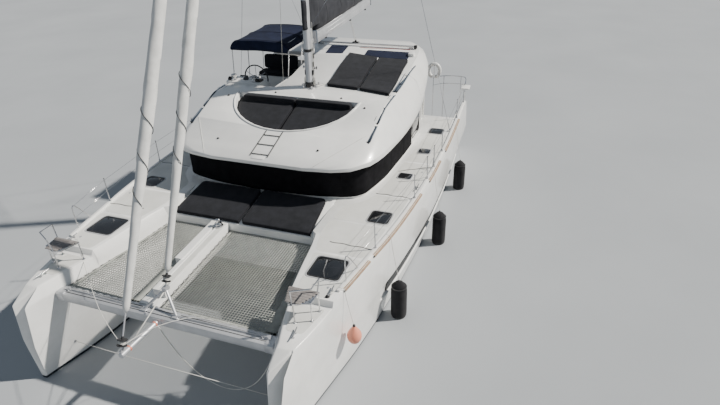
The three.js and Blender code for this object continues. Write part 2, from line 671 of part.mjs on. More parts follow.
// Steering wheel on the console's shaft
const rim = new THREE.TorusGeometry(WHEEL.radius, 17, 8, 28).rotateY(Math.PI / 2);
const spokes = [0, 60, 120, 180, 240, 300].map((degrees) => {
  const angle = (degrees * Math.PI) / 180;
  const tip = [WHEEL.x, WHEEL.y + WHEEL.radius * Math.sin(angle), WHEEL.z + WHEEL.radius * Math.cos(angle)];
  return rod([WHEEL.x, WHEEL.y, WHEEL.z], tip, 9, 6);
});
const alongHub = (from, to, radius, sides) =>
  rod([from, WHEEL.y, WHEEL.z], [to, WHEEL.y, WHEEL.z], radius, sides);
const wheelHub = cut(
  alongHub(-1985, -1850, 55, 14),
  alongHub(-1911, -1800, WHEEL.shaft + PIN_GAP, PIN_SIDES),
);
add("helm_wheel", join(wheelHub, solidOf(rim.translate(WHEEL.x, WHEEL.y, WHEEL.z)), ...spokes), "steel");

const seatParts = [
  box(-3300, -2820, -2520, -1300, HELM_FLOOR + GAP, 3620),
  box(-3320, -2800, -2540, -1280, 3620, 3700),
  prism([[-3300, 3690], [-3200, 3690], [-3310, 4180], [-3370, 4180]], "y", -2500, -1320),
];
add("helm_seat", join(...seatParts), "charcoal");

// Points of a line pushed off to its left by an offset, mitred at the bends
function pushedLine(points, offset) {
  return points.map(([x, y], i) => {
    const normals = [[points[i - 1], points[i]], [points[i], points[i + 1]]]
      .filter(([a, b]) => a && b)
      .map(([a, b]) => new THREE.Vector2(a[1] - b[1], b[0] - a[0]).normalize());
    const mitre = normals.reduce((sum, n) => sum.clone().add(n)).normalize();
    const reach = offset / mitre.dot(normals[0]);
    return [x + mitre.x * reach, y + mitre.y * reach];
  });
}

// Helm bimini: three hoops from the coaming to the inboard wall, joined along the top; lift is how
// far each rises over the first
const HOOPS = table(
  ["x", "lift"],
  [
    [-1930, 0],
    [-2860, 35],
    [-3820, 60],
  ],
);
const HOOP_RADIUS = 15;
const FOOT_LIFT = { outer: 1.4, inner: 2.2 };
const HOOP_TOP = [
  [-2800, 4700],
  [-2640, 4870],
  [-2250, 4912],
  [-1750, 4925],
  [-1300, 4905],
  [-1020, 4850],
  [-900, 4700],
];
const hoopLine = (hoop) => {
  const top = HOOP_TOP.map(([y, z]) => [y, z + hoop.lift]);
  return [[-2890, 3330 + FOOT_LIFT.outer], ...top, [-1000, 3860 + FOOT_LIFT.inner]];
};
const hoopPipe = (hoop) => pipe(hoopLine(hoop).map(([y, z]) => [hoop.x, y, z]), HOOP_RADIUS);
const ridge = ([y, z]) => pipe(HOOPS.map((hoop) => [hoop.x, y, z + hoop.lift]), 11);
add("bimini_frame", join(...HOOPS.map(hoopPipe), ridge(HOOP_TOP[1]), ridge(HOOP_TOP[5])), "steel");

// The canopy lies on the hoops, overhangs them fore and aft, and hangs down ahead as a valance
const CANOPY_THICK = 12;
const CANOPY_OVER = 80;
const VALANCE_LOW = 4630;
const canopyUnder = pushedLine(HOOP_TOP, HOOP_RADIUS + GAP);
const canopyOver = pushedLine(canopyUnder, CANOPY_THICK);
const canopyEnds = [
  { x: HOOPS[0].x + CANOPY_OVER, lift: HOOPS[0].lift },
  ...HOOPS,
  { x: HOOPS[2].x - CANOPY_OVER, lift: HOOPS[2].lift },
];
const canopyOutline = [...canopyUnder, ...canopyOver.toReversed()];
const canopyRing = ({ x, lift }) => ringAt(x, canopyOutline.map(([y, z]) => [y, z + lift]));
const valanceFore = HOOPS[0].x + CANOPY_OVER;
const valancePlan = [...canopyOver, [canopyOver.at(-1)[0], VALANCE_LOW], [canopyOver[0][0], VALANCE_LOW]];
const valance = prism(valancePlan, "x", valanceFore - CANOPY_THICK, valanceFore);
add("bimini_top", join(loft(canopyEnds.map(canopyRing), acrossX), valance), "navy");

// Crossbeam between the bows, with the striker frame and the bowsprit
const BEAM = { aft: 6000, fore: 6270, low: 1580, high: 1770 };
const beamAft = bevelY(BEAM.aft) - 1;
const beamPlan = [[BEAM.aft, beamAft], [BEAM.fore, 2465], [BEAM.fore, -2465], [BEAM.aft, -beamAft]];
add("crossbeam", slab(beamPlan, BEAM.low, BEAM.high), "alloy");

const APEX = [5850, 0, 2150];
const STRIKER_FEET = { inner: 360, outer: 2300 };
const strikerHalf = (side) => {
  const [inner, outer] = [side * STRIKER_FEET.inner, side * STRIKER_FEET.outer];
  return [
    rod([6130, inner, BEAM.high + 24], APEX, 28, 10),
    rod([6100, outer, BEAM.high + 20], [6130, inner, BEAM.high + 26], 12),
    box(6050, 6150, outer - 50, outer + 50, BEAM.high + GAP, BEAM.high + 32),
    box(6070, 6200, inner - 60, inner + 60, BEAM.high + GAP, BEAM.high + 32),
  ];
};
const apexPlate = box(APEX[0] - 60, APEX[0] + 60, -50, 50, APEX[2] - 30, APEX[2] + 40);
add("striker", join(...strikerHalf(1), ...strikerHalf(-1), apexPlate), "alloy");

const SPRIT = { z0: 1670, tip: 7240, z1: 1730 };
add(
  "bowsprit",
  join(
    rod([BEAM.fore + 4, 0, SPRIT.z0], [SPRIT.tip, 0, SPRIT.z1], 55, 14),
    box(BEAM.fore + GAP, BEAM.fore + 14, -90, 90, 1600, 1750),
    box(7120, 7230, -30, 30, 1700, 1810),
  ),
  "alloy",
);

// Longeron from the crossbeam to the bridgedeck, a little to starboard: a walkway with the chain's
// groove beside it and a flange that ends short of the bow
const LONGERON = { foreY: -150, aftY: -290, wide: 450, low: 1560, high: 1950, flangeEnd: 4720 };
const longeronPlan = (y0, y1, x0, x1) => {
  const slope = (LONGERON.foreY - LONGERON.aftY) / (BEAM.aft - BRIDGE_FRONT);
  const shift = (x) => LONGERON.aftY + slope * (x - BRIDGE_FRONT);
  return [[x0, shift(x0) - y0], [x1, shift(x1) - y0], [x1, shift(x1) - y1], [x0, shift(x0) - y1]];
};
const spine = longeronPlan(0, LONGERON.wide, BRIDGE_FRONT + GAP, BEAM.aft - GAP);
const groove = longeronPlan(225, 275, BRIDGE_FRONT + 60, LONGERON.flangeEnd + 10);
const walkway = longeronPlan(35, 190, BRIDGE_FRONT + 60, BEAM.aft - 330);
const windlassSide = longeronPlan(290, 700, LONGERON.flangeEnd, BEAM.aft + 10);
const underDrum = longeronPlan(-50, 700, BEAM.aft - 260, BEAM.aft + 10);
add(
  "longeron",
  cut(
    slab(spine, LONGERON.low, LONGERON.high),
    slab(groove, LONGERON.high - 90, LONGERON.high + 20),
    slab(walkway, LONGERON.high - 12, LONGERON.high + 20),
    slab(windlassSide, LONGERON.high - 170, LONGERON.high + 20),
    slab(underDrum, LONGERON.high - 170, LONGERON.high + 20),
  ),
  "gelcoat",
);

// Trampolines, one each side of the longeron
function net(side) {
  const beside = side > 0 ? -NET_MARGIN : LONGERON.wide + NET_MARGIN;
  const inner = longeronPlan(beside, 0, BRIDGE_FRONT + GAP, BEAM.aft - GAP);
  const stations = HULL.map((row) => row.x).filter((x) => x < BEAM.aft && x > BRIDGE_FRONT + 90);
  const xs = [BEAM.aft - GAP, ...stations, BRIDGE_FRONT + GAP];
  const outer = xs.map((x) => [x, side * (bevelY(Math.max(x, 3260)) - NET_MARGIN)]);
  return slab([inner[0], inner[1], ...outer], NET_Z, NET_Z + NET_THICK);
}
add("trampoline_port", net(1), "net");
add("trampoline_starboard", net(-1), "net");

// Mast with spreaders and the gooseneck's fork
const mastX = (z) => MAST_X - MAST_RAKE * (z - MAST_FOOT);
const MAST_SIDE = [[172, 0], [150, 55], [100, 90], [20, 104], [-80, 98], [-150, 66], [-172, 0]];
const MAST_PLAN = [...MAST_SIDE, ...MAST_SIDE.slice(1, -1).reverse().map(([dx, y]) => [dx, -y])];
const mastRing = (z, grow) => MAST_PLAN.map(([dx, y]) => vec([mastX(z) + dx * grow, y * grow, z]));
const SPREADERS = [8700, 13200];
const CHAINPLATE = [-3300, 3690, DECK_Z];
const HOUND_Z = 17300;
const capPoint = (z) => {
  const share = (HOUND_Z - z) / (HOUND_Z - DECK_Z);
  return [mastX(HOUND_Z) + (CHAINPLATE[0] - mastX(HOUND_Z)) * share, 140 + (CHAINPLATE[1] - 140) * share];
};
const fork = (z) => box(GOOSENECK_X - 30, mastX(z) - 100, -30, 30, z - 10, z + 10);
const mastParts = [
  loft([mastRing(MAST_FOOT + GAP, 1), mastRing(16500, 1), mastRing(MAST_TOP, 0.7)], fromAbove),
  box(MAST_X - 220, MAST_X + 220, -150, 150, MAST_FOOT + GAP, MAST_FOOT + 22),
  fork(GOOSENECK_Z + 40),
  fork(GOOSENECK_Z - 40),
  rod([GOOSENECK_X, 0, GOOSENECK_Z - 45], [GOOSENECK_X, 0, GOOSENECK_Z + 45], 12, 12),
];
for (const z of SPREADERS) {
  const [x, y] = capPoint(z);
  for (const side of [1, -1]) {
    mastParts.push(rod([mastX(z) - 20, side * 20, z], [x + 14, side * (y - 34), z + 20], 26, 8));
  }
}
add("mast", join(...mastParts), "alloy");

// Shrouds from a band at the hounds to plates on the side decks
const hounds = (dx, y, grow) => [mastX(HOUND_Z) + dx * grow, y * grow];
const band = cut(
  slab(MAST_PLAN.map(([dx, y]) => hounds(dx, y, 1.2)), HOUND_Z - 40, HOUND_Z + 40),
  slab(MAST_PLAN.map(([dx, y]) => hounds(dx, y, 1.008)), HOUND_Z - 60, HOUND_Z + 60),
);
const stay = (side) => {
  const [x, y, z] = [CHAINPLATE[0], side * CHAINPLATE[1], DECK_Z];
  return [
    rod([x, y, z + 20], [mastX(HOUND_Z) - 20, side * 114, HOUND_Z], 8, 6),
    box(x - 60, x + 60, y - 25, y + 25, z + GAP, z + 60),
  ];
};
add("shrouds", join(band, ...stay(1), ...stay(-1)), "steel");

// Boom and the sail bag that lies on it
const boomLow = (x) => 5000 + ((GOOSENECK_X - x) * 200) / 5000;
const BOOM = { fore: -1725, half: 95, high: 330 };
const boomPlan = [[BOOM.fore, -BOOM.half], [BOOM_END, -70], [BOOM_END, 70], [BOOM.fore, BOOM.half]];
const tongue = cut(
  join(
    box(BOOM.fore - 20, GOOSENECK_X, -24, 24, GOOSENECK_Z - 24, GOOSENECK_Z + 24),
    rod([GOOSENECK_X, 0, GOOSENECK_Z - 24], [GOOSENECK_X, 0, GOOSENECK_Z + 24], 25, 16),
  ),
  rod([GOOSENECK_X, 0, GOOSENECK_Z - 40], [GOOSENECK_X, 0, GOOSENECK_Z + 40], 12.8, 12),
);
add("boom", join(slab(boomPlan, boomLow, (x) => boomLow(x) + BOOM.high), tongue), "alloy");

// Sail bag sections: height over the boom and half width
const BAG = table(
  ["x", "high", "half"],
  [
    [-1800, 900, 75],
    [-1900, 890, 140],
    [-2300, 850, 170],
    [-3500, 700, 180],
    [-5200, 520, 165],
    [-6400, 400, 120],
    [-6500, 370, 60],
  ],
);
const bagRing = ({ x, high, half }) => {
  const z = boomLow(x) + BOOM.high + GAP;
  const side = [[0.45, 0], [0.95, 0.14], [1, 0.4], [0.55, 0.86], [0.12, 1]];
  return ringAt(x, mirrored(side).map(([y, up]) => [y * half, z + up * high]));
};
add("sail_bag", loft(BAG.map(bagRing), acrossX), "charcoal");

// A furled headsail on its stay: toggle, drum, foil, then the roll that swells and tapers
function furled(foot, slope, footRadius, rollStart, bellyRadius, top) {
  const length = (top - foot[2]) * Math.hypot(1, slope);
  const head = [foot[0] + slope * (top - foot[2]), 0, top];
  const profile = [
    [0, 15],
    [90, 15],
    [90, 85],
    [210, 85],
    [210, 15],
    [rollStart - 60, 15],
    [rollStart, footRadius],
    [rollStart + 900, footRadius * 1.15],
    [rollStart + 3600, bellyRadius],
    [rollStart + 6500, bellyRadius * 0.96],
    [length - 900, 42],
    [length - 500, 14],
    [length, 14],
  ];
  return turned(foot, head, profile, 12);
}
add("genoa_roll", furled([5835, 0, 2197.2], -0.4975, 62, 330, 116, 16704), "sailcloth");
add("code_sail_roll", furled([7200, 0, 1817.8], -0.538, 66, 720, 118, 17839), "sailcloth");

// Toe rail with its stanchions, one run a side from the shoulder of the bow to the stern
const STANCHIONS = [3440, 1160, 80, -640, -1680, -4350, -5900];
const RAIL = { fore: 4960, aft: -6100, outer: 40, inner: 100, high: 45 };
for (const [name, side] of [["port", 1], ["starboard", -1]]) {
  const stations = HULL.map((row) => row.x).filter((x) => x < RAIL.fore && x > RAIL.aft);
  const edge = (inset) => [RAIL.fore, ...stations, RAIL.aft].map((x) => [x, side * (outY(x) - inset)]);
  const rail = slab([...edge(RAIL.outer), ...edge(RAIL.inner).reverse()], DECK_Z + GAP, DECK_Z + RAIL.high);
  const posts = STANCHIONS.map((x) => {
    const y = outY(x) - (RAIL.outer + RAIL.inner) / 2;
    return rod([x, side * y, DECK_Z + 10], [x, side * (y - 10), DECK_Z + 660], 13);
  });
  add(`side_rail_${name}`, join(rail, ...posts), "alloy");
}

// Fenders that hang on the port side, each by a lanyard that ends at the toe rail
const FENDERS = table(
  ["name", "x", "low", "high", "radius"],
  [
    ["fender_fore", 2900, -150, 1000, 190],
    ["fender_mid", -350, -150, 1000, 190],
    ["fender_aft", -3700, -150, 1000, 190],
    ["fender_buoy", 4880, 860, 1320, 150],
  ],
);
const LANYARD = 6;
// Shares of a fender's length and of its radius
const BOLSTER = [
  [0, 0.2],
  [0.05, 0.55],
  [0.14, 0.92],
  [0.22, 1],
  [0.78, 1],
  [0.86, 0.92],
  [0.95, 0.55],
  [1, 0.16],
];
const BUOY = [
  [0, 0.2],
  [0.08, 0.5],
  [0.25, 0.88],
  [0.42, 1],
  [0.62, 0.86],
  [0.85, 0.4],
  [1, 0.12],
];
for (const { name, x, low, high, radius } of FENDERS) {
  const y = Math.max(along(HULL, "chine", x), outY(x)) + STRIP.ledge + radius + 4;
  const buoy = name === "fender_buoy";
  const profile = (buoy ? BUOY : BOLSTER).map(([up, wide]) => [up * (high - low), wide * radius]);
  const slant = Math.abs(outY(x + 50) - outY(x - 50)) / 100;
  const end = outY(x) - RAIL.outer + GAP + slant * LANYARD;
  const line = [[x, y, high - 20], [x, outY(x) + 22, DECK_Z + 26], [x, end, DECK_Z + 26]];
  const body = turned([x, y, low], [x, y, high], profile, 14);
  add(name, join(body, pipe(line, LANYARD, 6)), buoy ? "orange" : "black");
}

// Seats in the pulpits: a board on a tube frame with a back rail
const SEAT_FEET = [[5420, 2440], [5420, 3010], [5830, 2700], [5700, 2980]];
const SEAT_BOARD = [[5400, 2430], [5400, 3030], [5730, 3000], [5850, 2700], [5800, 2560]];
const SEAT_BACK = [
  [5420, 2990, 2436],
  [5400, 3040, 2760],
  [5720, 3030, 2770],
  [5880, 2700, 2760],
  [5830, 2680, 2436],
];
for (const [name, side] of [["port", 1], ["starboard", -1]]) {
  const board = slab(SEAT_BOARD.map(([x, y]) => [x, side * y]), 2420, 2452);
  const legs = SEAT_FEET.map(([x, y]) => rod([x, side * y, deckZ(x) + 1], [x, side * y, 2436], 14));
  const back = pipe(SEAT_BACK.map(([x, y, z]) => [x, side * y, z]), 14);
  add(`pulpit_seat_${name}`, join(board, ...legs, back), "steel");
}

// Cockpit: an L of benches, and a table on its pedestal
const benches = [
  box(-6190, -5600, -1500, 2200, SOLE_Z + GAP, 1690),
  box(-6190, -6080, -1500, 2200, 1680, 2120),
  box(-5610, -3900, 1650, 2290, SOLE_Z + GAP, 1690),
  box(-5610, -3900, 2180, 2290, 1680, 2100),
];
add("cockpit_seats", join(...benches), "charcoal");
const tableTop = box(-5300, -4000, 500, 1380, 1950, 1990);
const pedestal = rod([-4650, 940, SOLE_Z + GAP], [-4650, 940, 1960], 60, 12);
add("cockpit_table", join(tableTop, pedestal), "teak");

// Saloon: a sofa along the port side, a galley to starboard, and a table whose post stands on the
// sofa's plinth
const saloon = [
  box(-2600, 1150, 1700, 2390, SOLE_Z + GAP, 1720),
  box(600, 1150, -900, 1710, SOLE_Z + GAP, 1720),
  box(-2600, 1150, -2390, -1700, SOLE_Z + GAP, 2150),
  box(600, 1150, -1710, -890, SOLE_Z + GAP, 2150),
  box(-1300, 100, 600, 1300, 1950, 1990),
  rod([-600, 950, SOLE_Z + 10], [-600, 950, 1960], 50, 12),
  box(-1300, 100, 880, 1720, SOLE_Z + GAP, SOLE_Z + 30),
];
add("saloon_furniture", join(...saloon), "teak");

export default boat;
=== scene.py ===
"""Looks of a cruising sailing catamaran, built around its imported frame.

+X points to the bows, +Y to port and +Z up. z = 0 is the waterline, and all sizes are metres.
"""

import math

import bmesh
import bpy
from mathutils import Matrix, Vector, noise
from mathutils.bvhtree import BVHTree
from mathutils.geometry import convex_hull_2d, delaunay_2d_cdt


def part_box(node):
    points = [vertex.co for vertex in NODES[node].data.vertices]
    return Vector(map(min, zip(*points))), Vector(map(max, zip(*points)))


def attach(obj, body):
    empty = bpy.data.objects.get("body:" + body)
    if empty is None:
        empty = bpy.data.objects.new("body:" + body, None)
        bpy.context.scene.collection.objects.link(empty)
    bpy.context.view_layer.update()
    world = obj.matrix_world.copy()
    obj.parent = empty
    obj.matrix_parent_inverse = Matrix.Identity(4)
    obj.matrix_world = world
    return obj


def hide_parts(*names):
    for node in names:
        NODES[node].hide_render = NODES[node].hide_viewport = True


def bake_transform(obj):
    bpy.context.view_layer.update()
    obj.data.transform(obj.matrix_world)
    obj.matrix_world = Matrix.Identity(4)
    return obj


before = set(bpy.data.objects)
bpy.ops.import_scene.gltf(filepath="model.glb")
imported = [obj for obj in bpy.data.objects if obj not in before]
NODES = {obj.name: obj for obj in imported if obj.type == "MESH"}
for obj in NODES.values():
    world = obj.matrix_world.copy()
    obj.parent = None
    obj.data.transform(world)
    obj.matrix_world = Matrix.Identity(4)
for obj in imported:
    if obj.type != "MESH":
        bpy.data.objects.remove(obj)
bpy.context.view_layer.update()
UP = Vector((0, 0, 1))
SIDES = (("port", 1), ("starboard", -1))
# Radii of what is drawn as a thin tube in many places
ROPE, THIN_ROPE, CORD, HEM, ROD = 0.006, 0.005, 0.004, 0.006, 0.010

# Camera, from points of the hulls that the photograph shows on both sides
CAMERA_AT = Vector((12.160, 6.325, 8.594))
CAMERA_YAW, CAMERA_PITCH, CAMERA_ROLL = (math.radians(a) for a in (200.121, -29.999, -1.745))
CAMERA_LENS = 26.733
SENSOR = 36.0


def make_camera():
    level_ahead = Vector((math.cos(CAMERA_YAW), math.sin(CAMERA_YAW), 0))
    ahead = math.cos(CAMERA_PITCH) * level_ahead + math.sin(CAMERA_PITCH) * UP
    level = ahead.cross(UP).normalized()
    upright = level.cross(ahead)
    right = math.cos(CAMERA_ROLL) * level + math.sin(CAMERA_ROLL) * upright
    up = math.cos(CAMERA_ROLL) * upright - math.sin(CAMERA_ROLL) * level
    data = bpy.data.cameras.new("camera")
    data.lens, data.sensor_width, data.sensor_fit = CAMERA_LENS, SENSOR, "HORIZONTAL"
    data.clip_end = 200
    camera = bpy.data.objects.new("camera", data)
    turn = Matrix((right, up, -ahead)).transposed().to_4x4()
    camera.matrix_world = Matrix.Translation(CAMERA_AT) @ turn
    bpy.context.scene.collection.objects.link(camera)
    bpy.context.scene.camera = camera


# Materials: every one is a small node tree over object coordinates, in metres
LOOKS = {}
BOTTOM_PAINT, CREAM, CAULK, PURE = (0.02, 0.03, 0.04), (0.70, 0.55, 0.42), (0.03, 0.03, 0.03), (1, 1, 1)
# The length of a wave texture's waves at scale 1
WAVE_LENGTH = 0.314


def shader(name, rough=0.5, metal=0.0, coat=0.0, sheen=0.0, shine=0.5):
    """Puts a new material in LOOKS; returns its tree, its surface node and its coordinates."""
    LOOKS[name] = bpy.data.materials.new(name)
    LOOKS[name].use_nodes = True
    tree = LOOKS[name].node_tree
    surface = tree.nodes["Principled BSDF"]
    settings = {"Roughness": rough, "Metallic": metal, "Coat Weight": coat, "Sheen Weight": sheen,
                "Specular IOR Level": shine}
    for key, value in settings.items():
        surface.inputs[key].default_value = value
    return tree, surface, tree.nodes.new("ShaderNodeTexCoord")


def link(tree, a, out, b, into):
    tree.links.new(a.outputs[out], b.inputs[into])


def fed_node(tree, kind, coords, settings):
    """A texture node over the object's own coordinates."""
    node = tree.nodes.new(kind)
    for key, value in settings.items():
        node.inputs[key].default_value = value
    link(tree, coords, "Object", node, "Vector")
    return node


def grain_node(tree, coords, scale, detail=3.0, rough=0.55):
    settings = {"Scale": scale, "Detail": detail, "Roughness": rough}
    return fed_node(tree, "ShaderNodeTexNoise", coords, settings)


def height_node(tree, coords):
    split = tree.nodes.new("ShaderNodeSeparateXYZ")
    link(tree, coords, "Object", split, "Vector")
    return split


def sum_node(tree, factor_at, factor):
    """A node that multiplies and adds, with one of its inputs set."""
    node = tree.nodes.new("ShaderNodeMath")
    node.operation = "MULTIPLY_ADD"
    node.inputs[factor_at].default_value = factor
    return node


def ramp(tree, source, out, stops):
    node = tree.nodes.new("ShaderNodeValToRGB")
    elements = node.color_ramp.elements
    while len(elements) < len(stops):
        elements.new(0.5)
    for element, (at, color) in zip(elements, stops):
        element.position = at
        element.color = (*color, 1)
    link(tree, source, out, node, "Fac")
    return node


def bump(tree, surface, source, out, strength, distance):
    node = tree.nodes.new("ShaderNodeBump")
    node.inputs["Strength"].default_value = strength
    node.inputs["Distance"].default_value = distance
    link(tree, source, out, node, "Height")
    link(tree, node, "Normal", surface, "Normal")


def multiplied(tree, surface, first, second):
    """Sets the surface's colour to the product of two."""
    mix = tree.nodes.new("ShaderNodeMix")
    mix.data_type, mix.blend_type = "RGBA", "MULTIPLY"
    mix.inputs["Factor"].default_value = 1
    for source, socket in ((first, 6), (second, 7)):
        link(tree, source, "Color", mix, socket)
    link(tree, mix, 2, surface, "Base Color")


def plain(name, dark, light, rough, metal=0.0, grain=6.0, bump_scale=180.0, bump_size=0.0004,
          strength=0.25, **more):
    """A surface whose colour wanders between two tones, with a fine bump."""
    tree, surface, coords = shader(name, rough, metal, **more)
    tones = ramp(tree, grain_node(tree, coords, grain, 5), "Fac", [(0.3, dark), (0.7, light)])
    link(tree, tones, "Color", surface, "Base Color")
    bump(tree, surface, grain_node(tree, coords, bump_scale, 2), "Fac", strength, bump_size)


def woven(name, dark, light, rough=0.9, thread=0.004, sheen=0.3, shine=0.2):
    """Cloth: crossed thread waves over a slow change of tone."""
    tree, surface, coords = shader(name, rough, sheen=sheen, shine=shine)
    height, out = None, "Fac"
    for direction in ("X", "Y", "Z"):
        settings = {"Scale": WAVE_LENGTH / thread, "Distortion": 0.4}
        wave = fed_node(tree, "ShaderNodeTexWave", coords, settings)
        wave.bands_direction = direction
        if height is None:
            height = wave
            continue
        both = sum_node(tree, 2, 0.15)
        link(tree, height, out, both, 0)
        link(tree, wave, "Fac", both, 1)
        height, out = both, 0
    tones = ramp(tree, grain_node(tree, coords, 5.0, 5), "Fac", [(0.3, dark), (0.72, light)])
    link(tree, tones, "Color", surface, "Base Color")
    bump(tree, surface, height, out, 0.35, thread * 0.25)


def hull_paint(name):
    """White gelcoat over the dark bottom paint, told apart by height."""
    tree, surface, coords = shader(name, 0.22, coat=0.3)
    height = tree.nodes.new("ShaderNodeMapRange")
    height.inputs["From Min"].default_value = -1
    height.inputs["From Max"].default_value = 1
    link(tree, height_node(tree, coords), "Z", height, "Value")
    stops = [(0.0, BOTTOM_PAINT), (0.53, BOTTOM_PAINT), (0.531, PURE), (1, PURE)]
    bands = ramp(tree, height, "Result", stops)
    stops = [(0.25, (0.76, 0.76, 0.74)), (0.6, (0.87, 0.87, 0.85))]
    multiplied(tree, surface, bands, ramp(tree, grain_node(tree, coords, 1.6, 7, 0.65), "Fac", stops))
    bump(tree, surface, grain_node(tree, coords, 3.0, 2), "Fac", 0.05, 0.01)


def planked(name, plank=0.055):
    """Teak planks along the boat, with dark caulking between them."""
    tree, surface, coords = shader(name, 0.55)
    seams = fed_node(tree, "ShaderNodeTexWave", coords, {"Scale": WAVE_LENGTH / plank})
    seams.bands_direction = "Y"
    stops = [(0.3, (0.27, 0.17, 0.09)), (0.7, (0.44, 0.30, 0.18))]
    grain = ramp(tree, grain_node(tree, coords, 14.0, 5), "Fac", stops)
    caulk = ramp(tree, seams, "Fac", [(0.0, CAULK), (0.05, CAULK), (0.10, PURE), (1.0, PURE)])
    multiplied(tree, surface, grain, caulk)
    bump(tree, surface, seams, "Fac", 0.3, 0.002)


def faded_vinyl(name):
    """Orange-pink vinyl, faded to cream below, told apart by height."""
    tree, surface, coords = shader(name, 0.42, coat=0.2)
    both = sum_node(tree, 1, 0.16)
    link(tree, grain_node(tree, coords, 7.0, 4), "Fac", both, 0)
    link(tree, height_node(tree, coords), "Z", both, 2)
    tones = ramp(tree, both, 0, [(0.44, CREAM), (0.60, (0.66, 0.20, 0.12)), (1.0, (0.78, 0.28, 0.18))])
    link(tree, tones, "Color", surface, "Base Color")
    bump(tree, surface, grain_node(tree, coords, 60.0, 2), "Fac", 0.15, 0.001)


hull_paint("gelcoat_hull")
planked("teak")
faded_vinyl("buoy")
plain("gelcoat", (0.79, 0.79, 0.77), (0.87, 0.87, 0.85), 0.25, grain=1.8, strength=0.05, coat=0.3)
plain("nonskid", (0.60, 0.60, 0.57), (0.69, 0.69, 0.66), 0.75, grain=2.5, bump_scale=260,
      strength=0.6, bump_size=0.001)
plain("alloy", (0.50, 0.51, 0.53), (0.62, 0.63, 0.65), 0.42, 0.55, grain=3)
plain("steel", (0.62, 0.62, 0.63), (0.74, 0.74, 0.75), 0.18, 1.0, grain=9)
plain("bronze", (0.35, 0.23, 0.10), (0.5, 0.35, 0.17), 0.35, 0.9)
plain("glass", (0.008, 0.009, 0.011), (0.016, 0.017, 0.02), 0.06, grain=2, strength=0.02, coat=0.6)
# near black: the hulls' windows, and painted shade where the dark band along each hull is shadow
plain("window", (0.004, 0.005, 0.006), (0.009, 0.010, 0.012), 0.35, grain=2, strength=0.02, shine=0.12)
plain("piping", (0.006, 0.006, 0.008), (0.012, 0.012, 0.014), 0.9, grain=20, shine=0.1)
plain("white", (0.76, 0.76, 0.74), (0.84, 0.84, 0.82), 0.3, grain=3, strength=0.05)
plain("grey", (0.36, 0.37, 0.38), (0.45, 0.46, 0.47), 0.45)
plain("slate", (0.06, 0.08, 0.11), (0.09, 0.115, 0.15), 0.5)
plain("black", (0.012, 0.012, 0.013), (0.025, 0.025, 0.027), 0.45, grain=8)
plain("orange", (0.62, 0.16, 0.09), (0.74, 0.24, 0.15), 0.45, grain=5, coat=0.2)
plain("red", (0.30, 0.03, 0.02), (0.42, 0.05, 0.03), 0.5)
plain("tan", (0.24, 0.15, 0.09), (0.36, 0.25, 0.16), 0.6, grain=12)
plain("oiled", (0.17, 0.155, 0.15), (0.27, 0.25, 0.24), 0.6, grain=16)
plain("antifoul", (0.015, 0.022, 0.032), (0.028, 0.038, 0.05), 0.8)
woven("cushion", (0.012, 0.013, 0.016), (0.021, 0.022, 0.027), sheen=0.05)
woven("cover", (0.003, 0.003, 0.004), (0.008, 0.008, 0.010), 0.85, 0.003, 0.0, 0.12)
woven("fender", (0.008, 0.008, 0.010), (0.018, 0.018, 0.020), 0.85, 0.003, 0.1)
woven("bag", (0.020, 0.021, 0.026), (0.036, 0.038, 0.045), sheen=0.05)
woven("navy", (0.004, 0.007, 0.022), (0.009, 0.014, 0.040), sheen=0.03)
woven("sail", (0.62, 0.62, 0.60), (0.76, 0.76, 0.74), 0.7, 0.003, 0.0)
woven("net", (0.26, 0.27, 0.25), (0.40, 0.41, 0.38), 0.8, 0.002, 0.0)
woven("rope", (0.55, 0.55, 0.52), (0.75, 0.74, 0.70), 0.8, 0.002, 0.0)

# Which CAD nodes that stay take each material; of two starts of a name, the longer one counts
DRESS = {
    "gelcoat_hull": "hull",
    "gelcoat": "bridgedeck cabin_wall coachroof aft_bulkhead helm_station longeron cockpit_seats",
    "glass": "cabin_glass saloon_door hatch",
    "cover": "window_cover fender",
    "steel": "helm_wheel bimini_frame shrouds pulpit_seat",
    "alloy": "crossbeam bowsprit striker mast boom traveller saildrive",
    "cushion": "helm_seat fore_pad lounge_pad roof_pad",
    "navy": "bimini_top",
    "net": "trampoline",
    "bag": "sail_bag",
    "sail": "genoa_roll code_sail_roll",
    "white": "side_rail",
    "teak": "cockpit_table saloon_furniture",
    "nonskid": "engine_hatch",
    "red": "engine",
    "bronze": "propeller",
    "antifoul": "rudder",
    "orange": "fender_buoy",
}
LOOK_OF = {kind: look for look, kinds in DRESS.items() for kind in kinds.split()}
# How wide the rounding of each kind's edges is, and where a hull's bow begins, which is rounder
EDGE = {"hull": 0.016, "bridgedeck": 0.03, "longeron": 0.02, "crossbeam": 0.02, "helm_station": 0.02,
        "helm_seat": 0.03, "coachroof": 0.05}
EDGE_ELSE = 0.004
BOW_FROM, BOW_EDGE = 5.25, 0.03
SHARP_ANGLE, FLAT_ANGLE, SMOOTH_ANGLE = (math.radians(a) for a in (18, 1.2, 32))
STANCHIONS_FROM = 2.2


def sharp_edges(mesh, among):
    """The sharp edges between some vertices, found by place, as the mesh is split there."""
    spot = [tuple(round(c, 4) for c in v.co) for v in mesh.vertices]
    normals = {}
    for face in mesh.polygons:
        for key in face.edge_keys:
            normals.setdefault(frozenset(spot[i] for i in key), []).append(face.normal)
    found = []
    for line in mesh.edges:
        beside = normals.get(frozenset(spot[i] for i in line.vertices), [])
        if among.issuperset(line.vertices) and len(beside) == 2 and beside[0].angle(beside[1]) > SHARP_ANGLE:
            found.append(line.index)
    return found


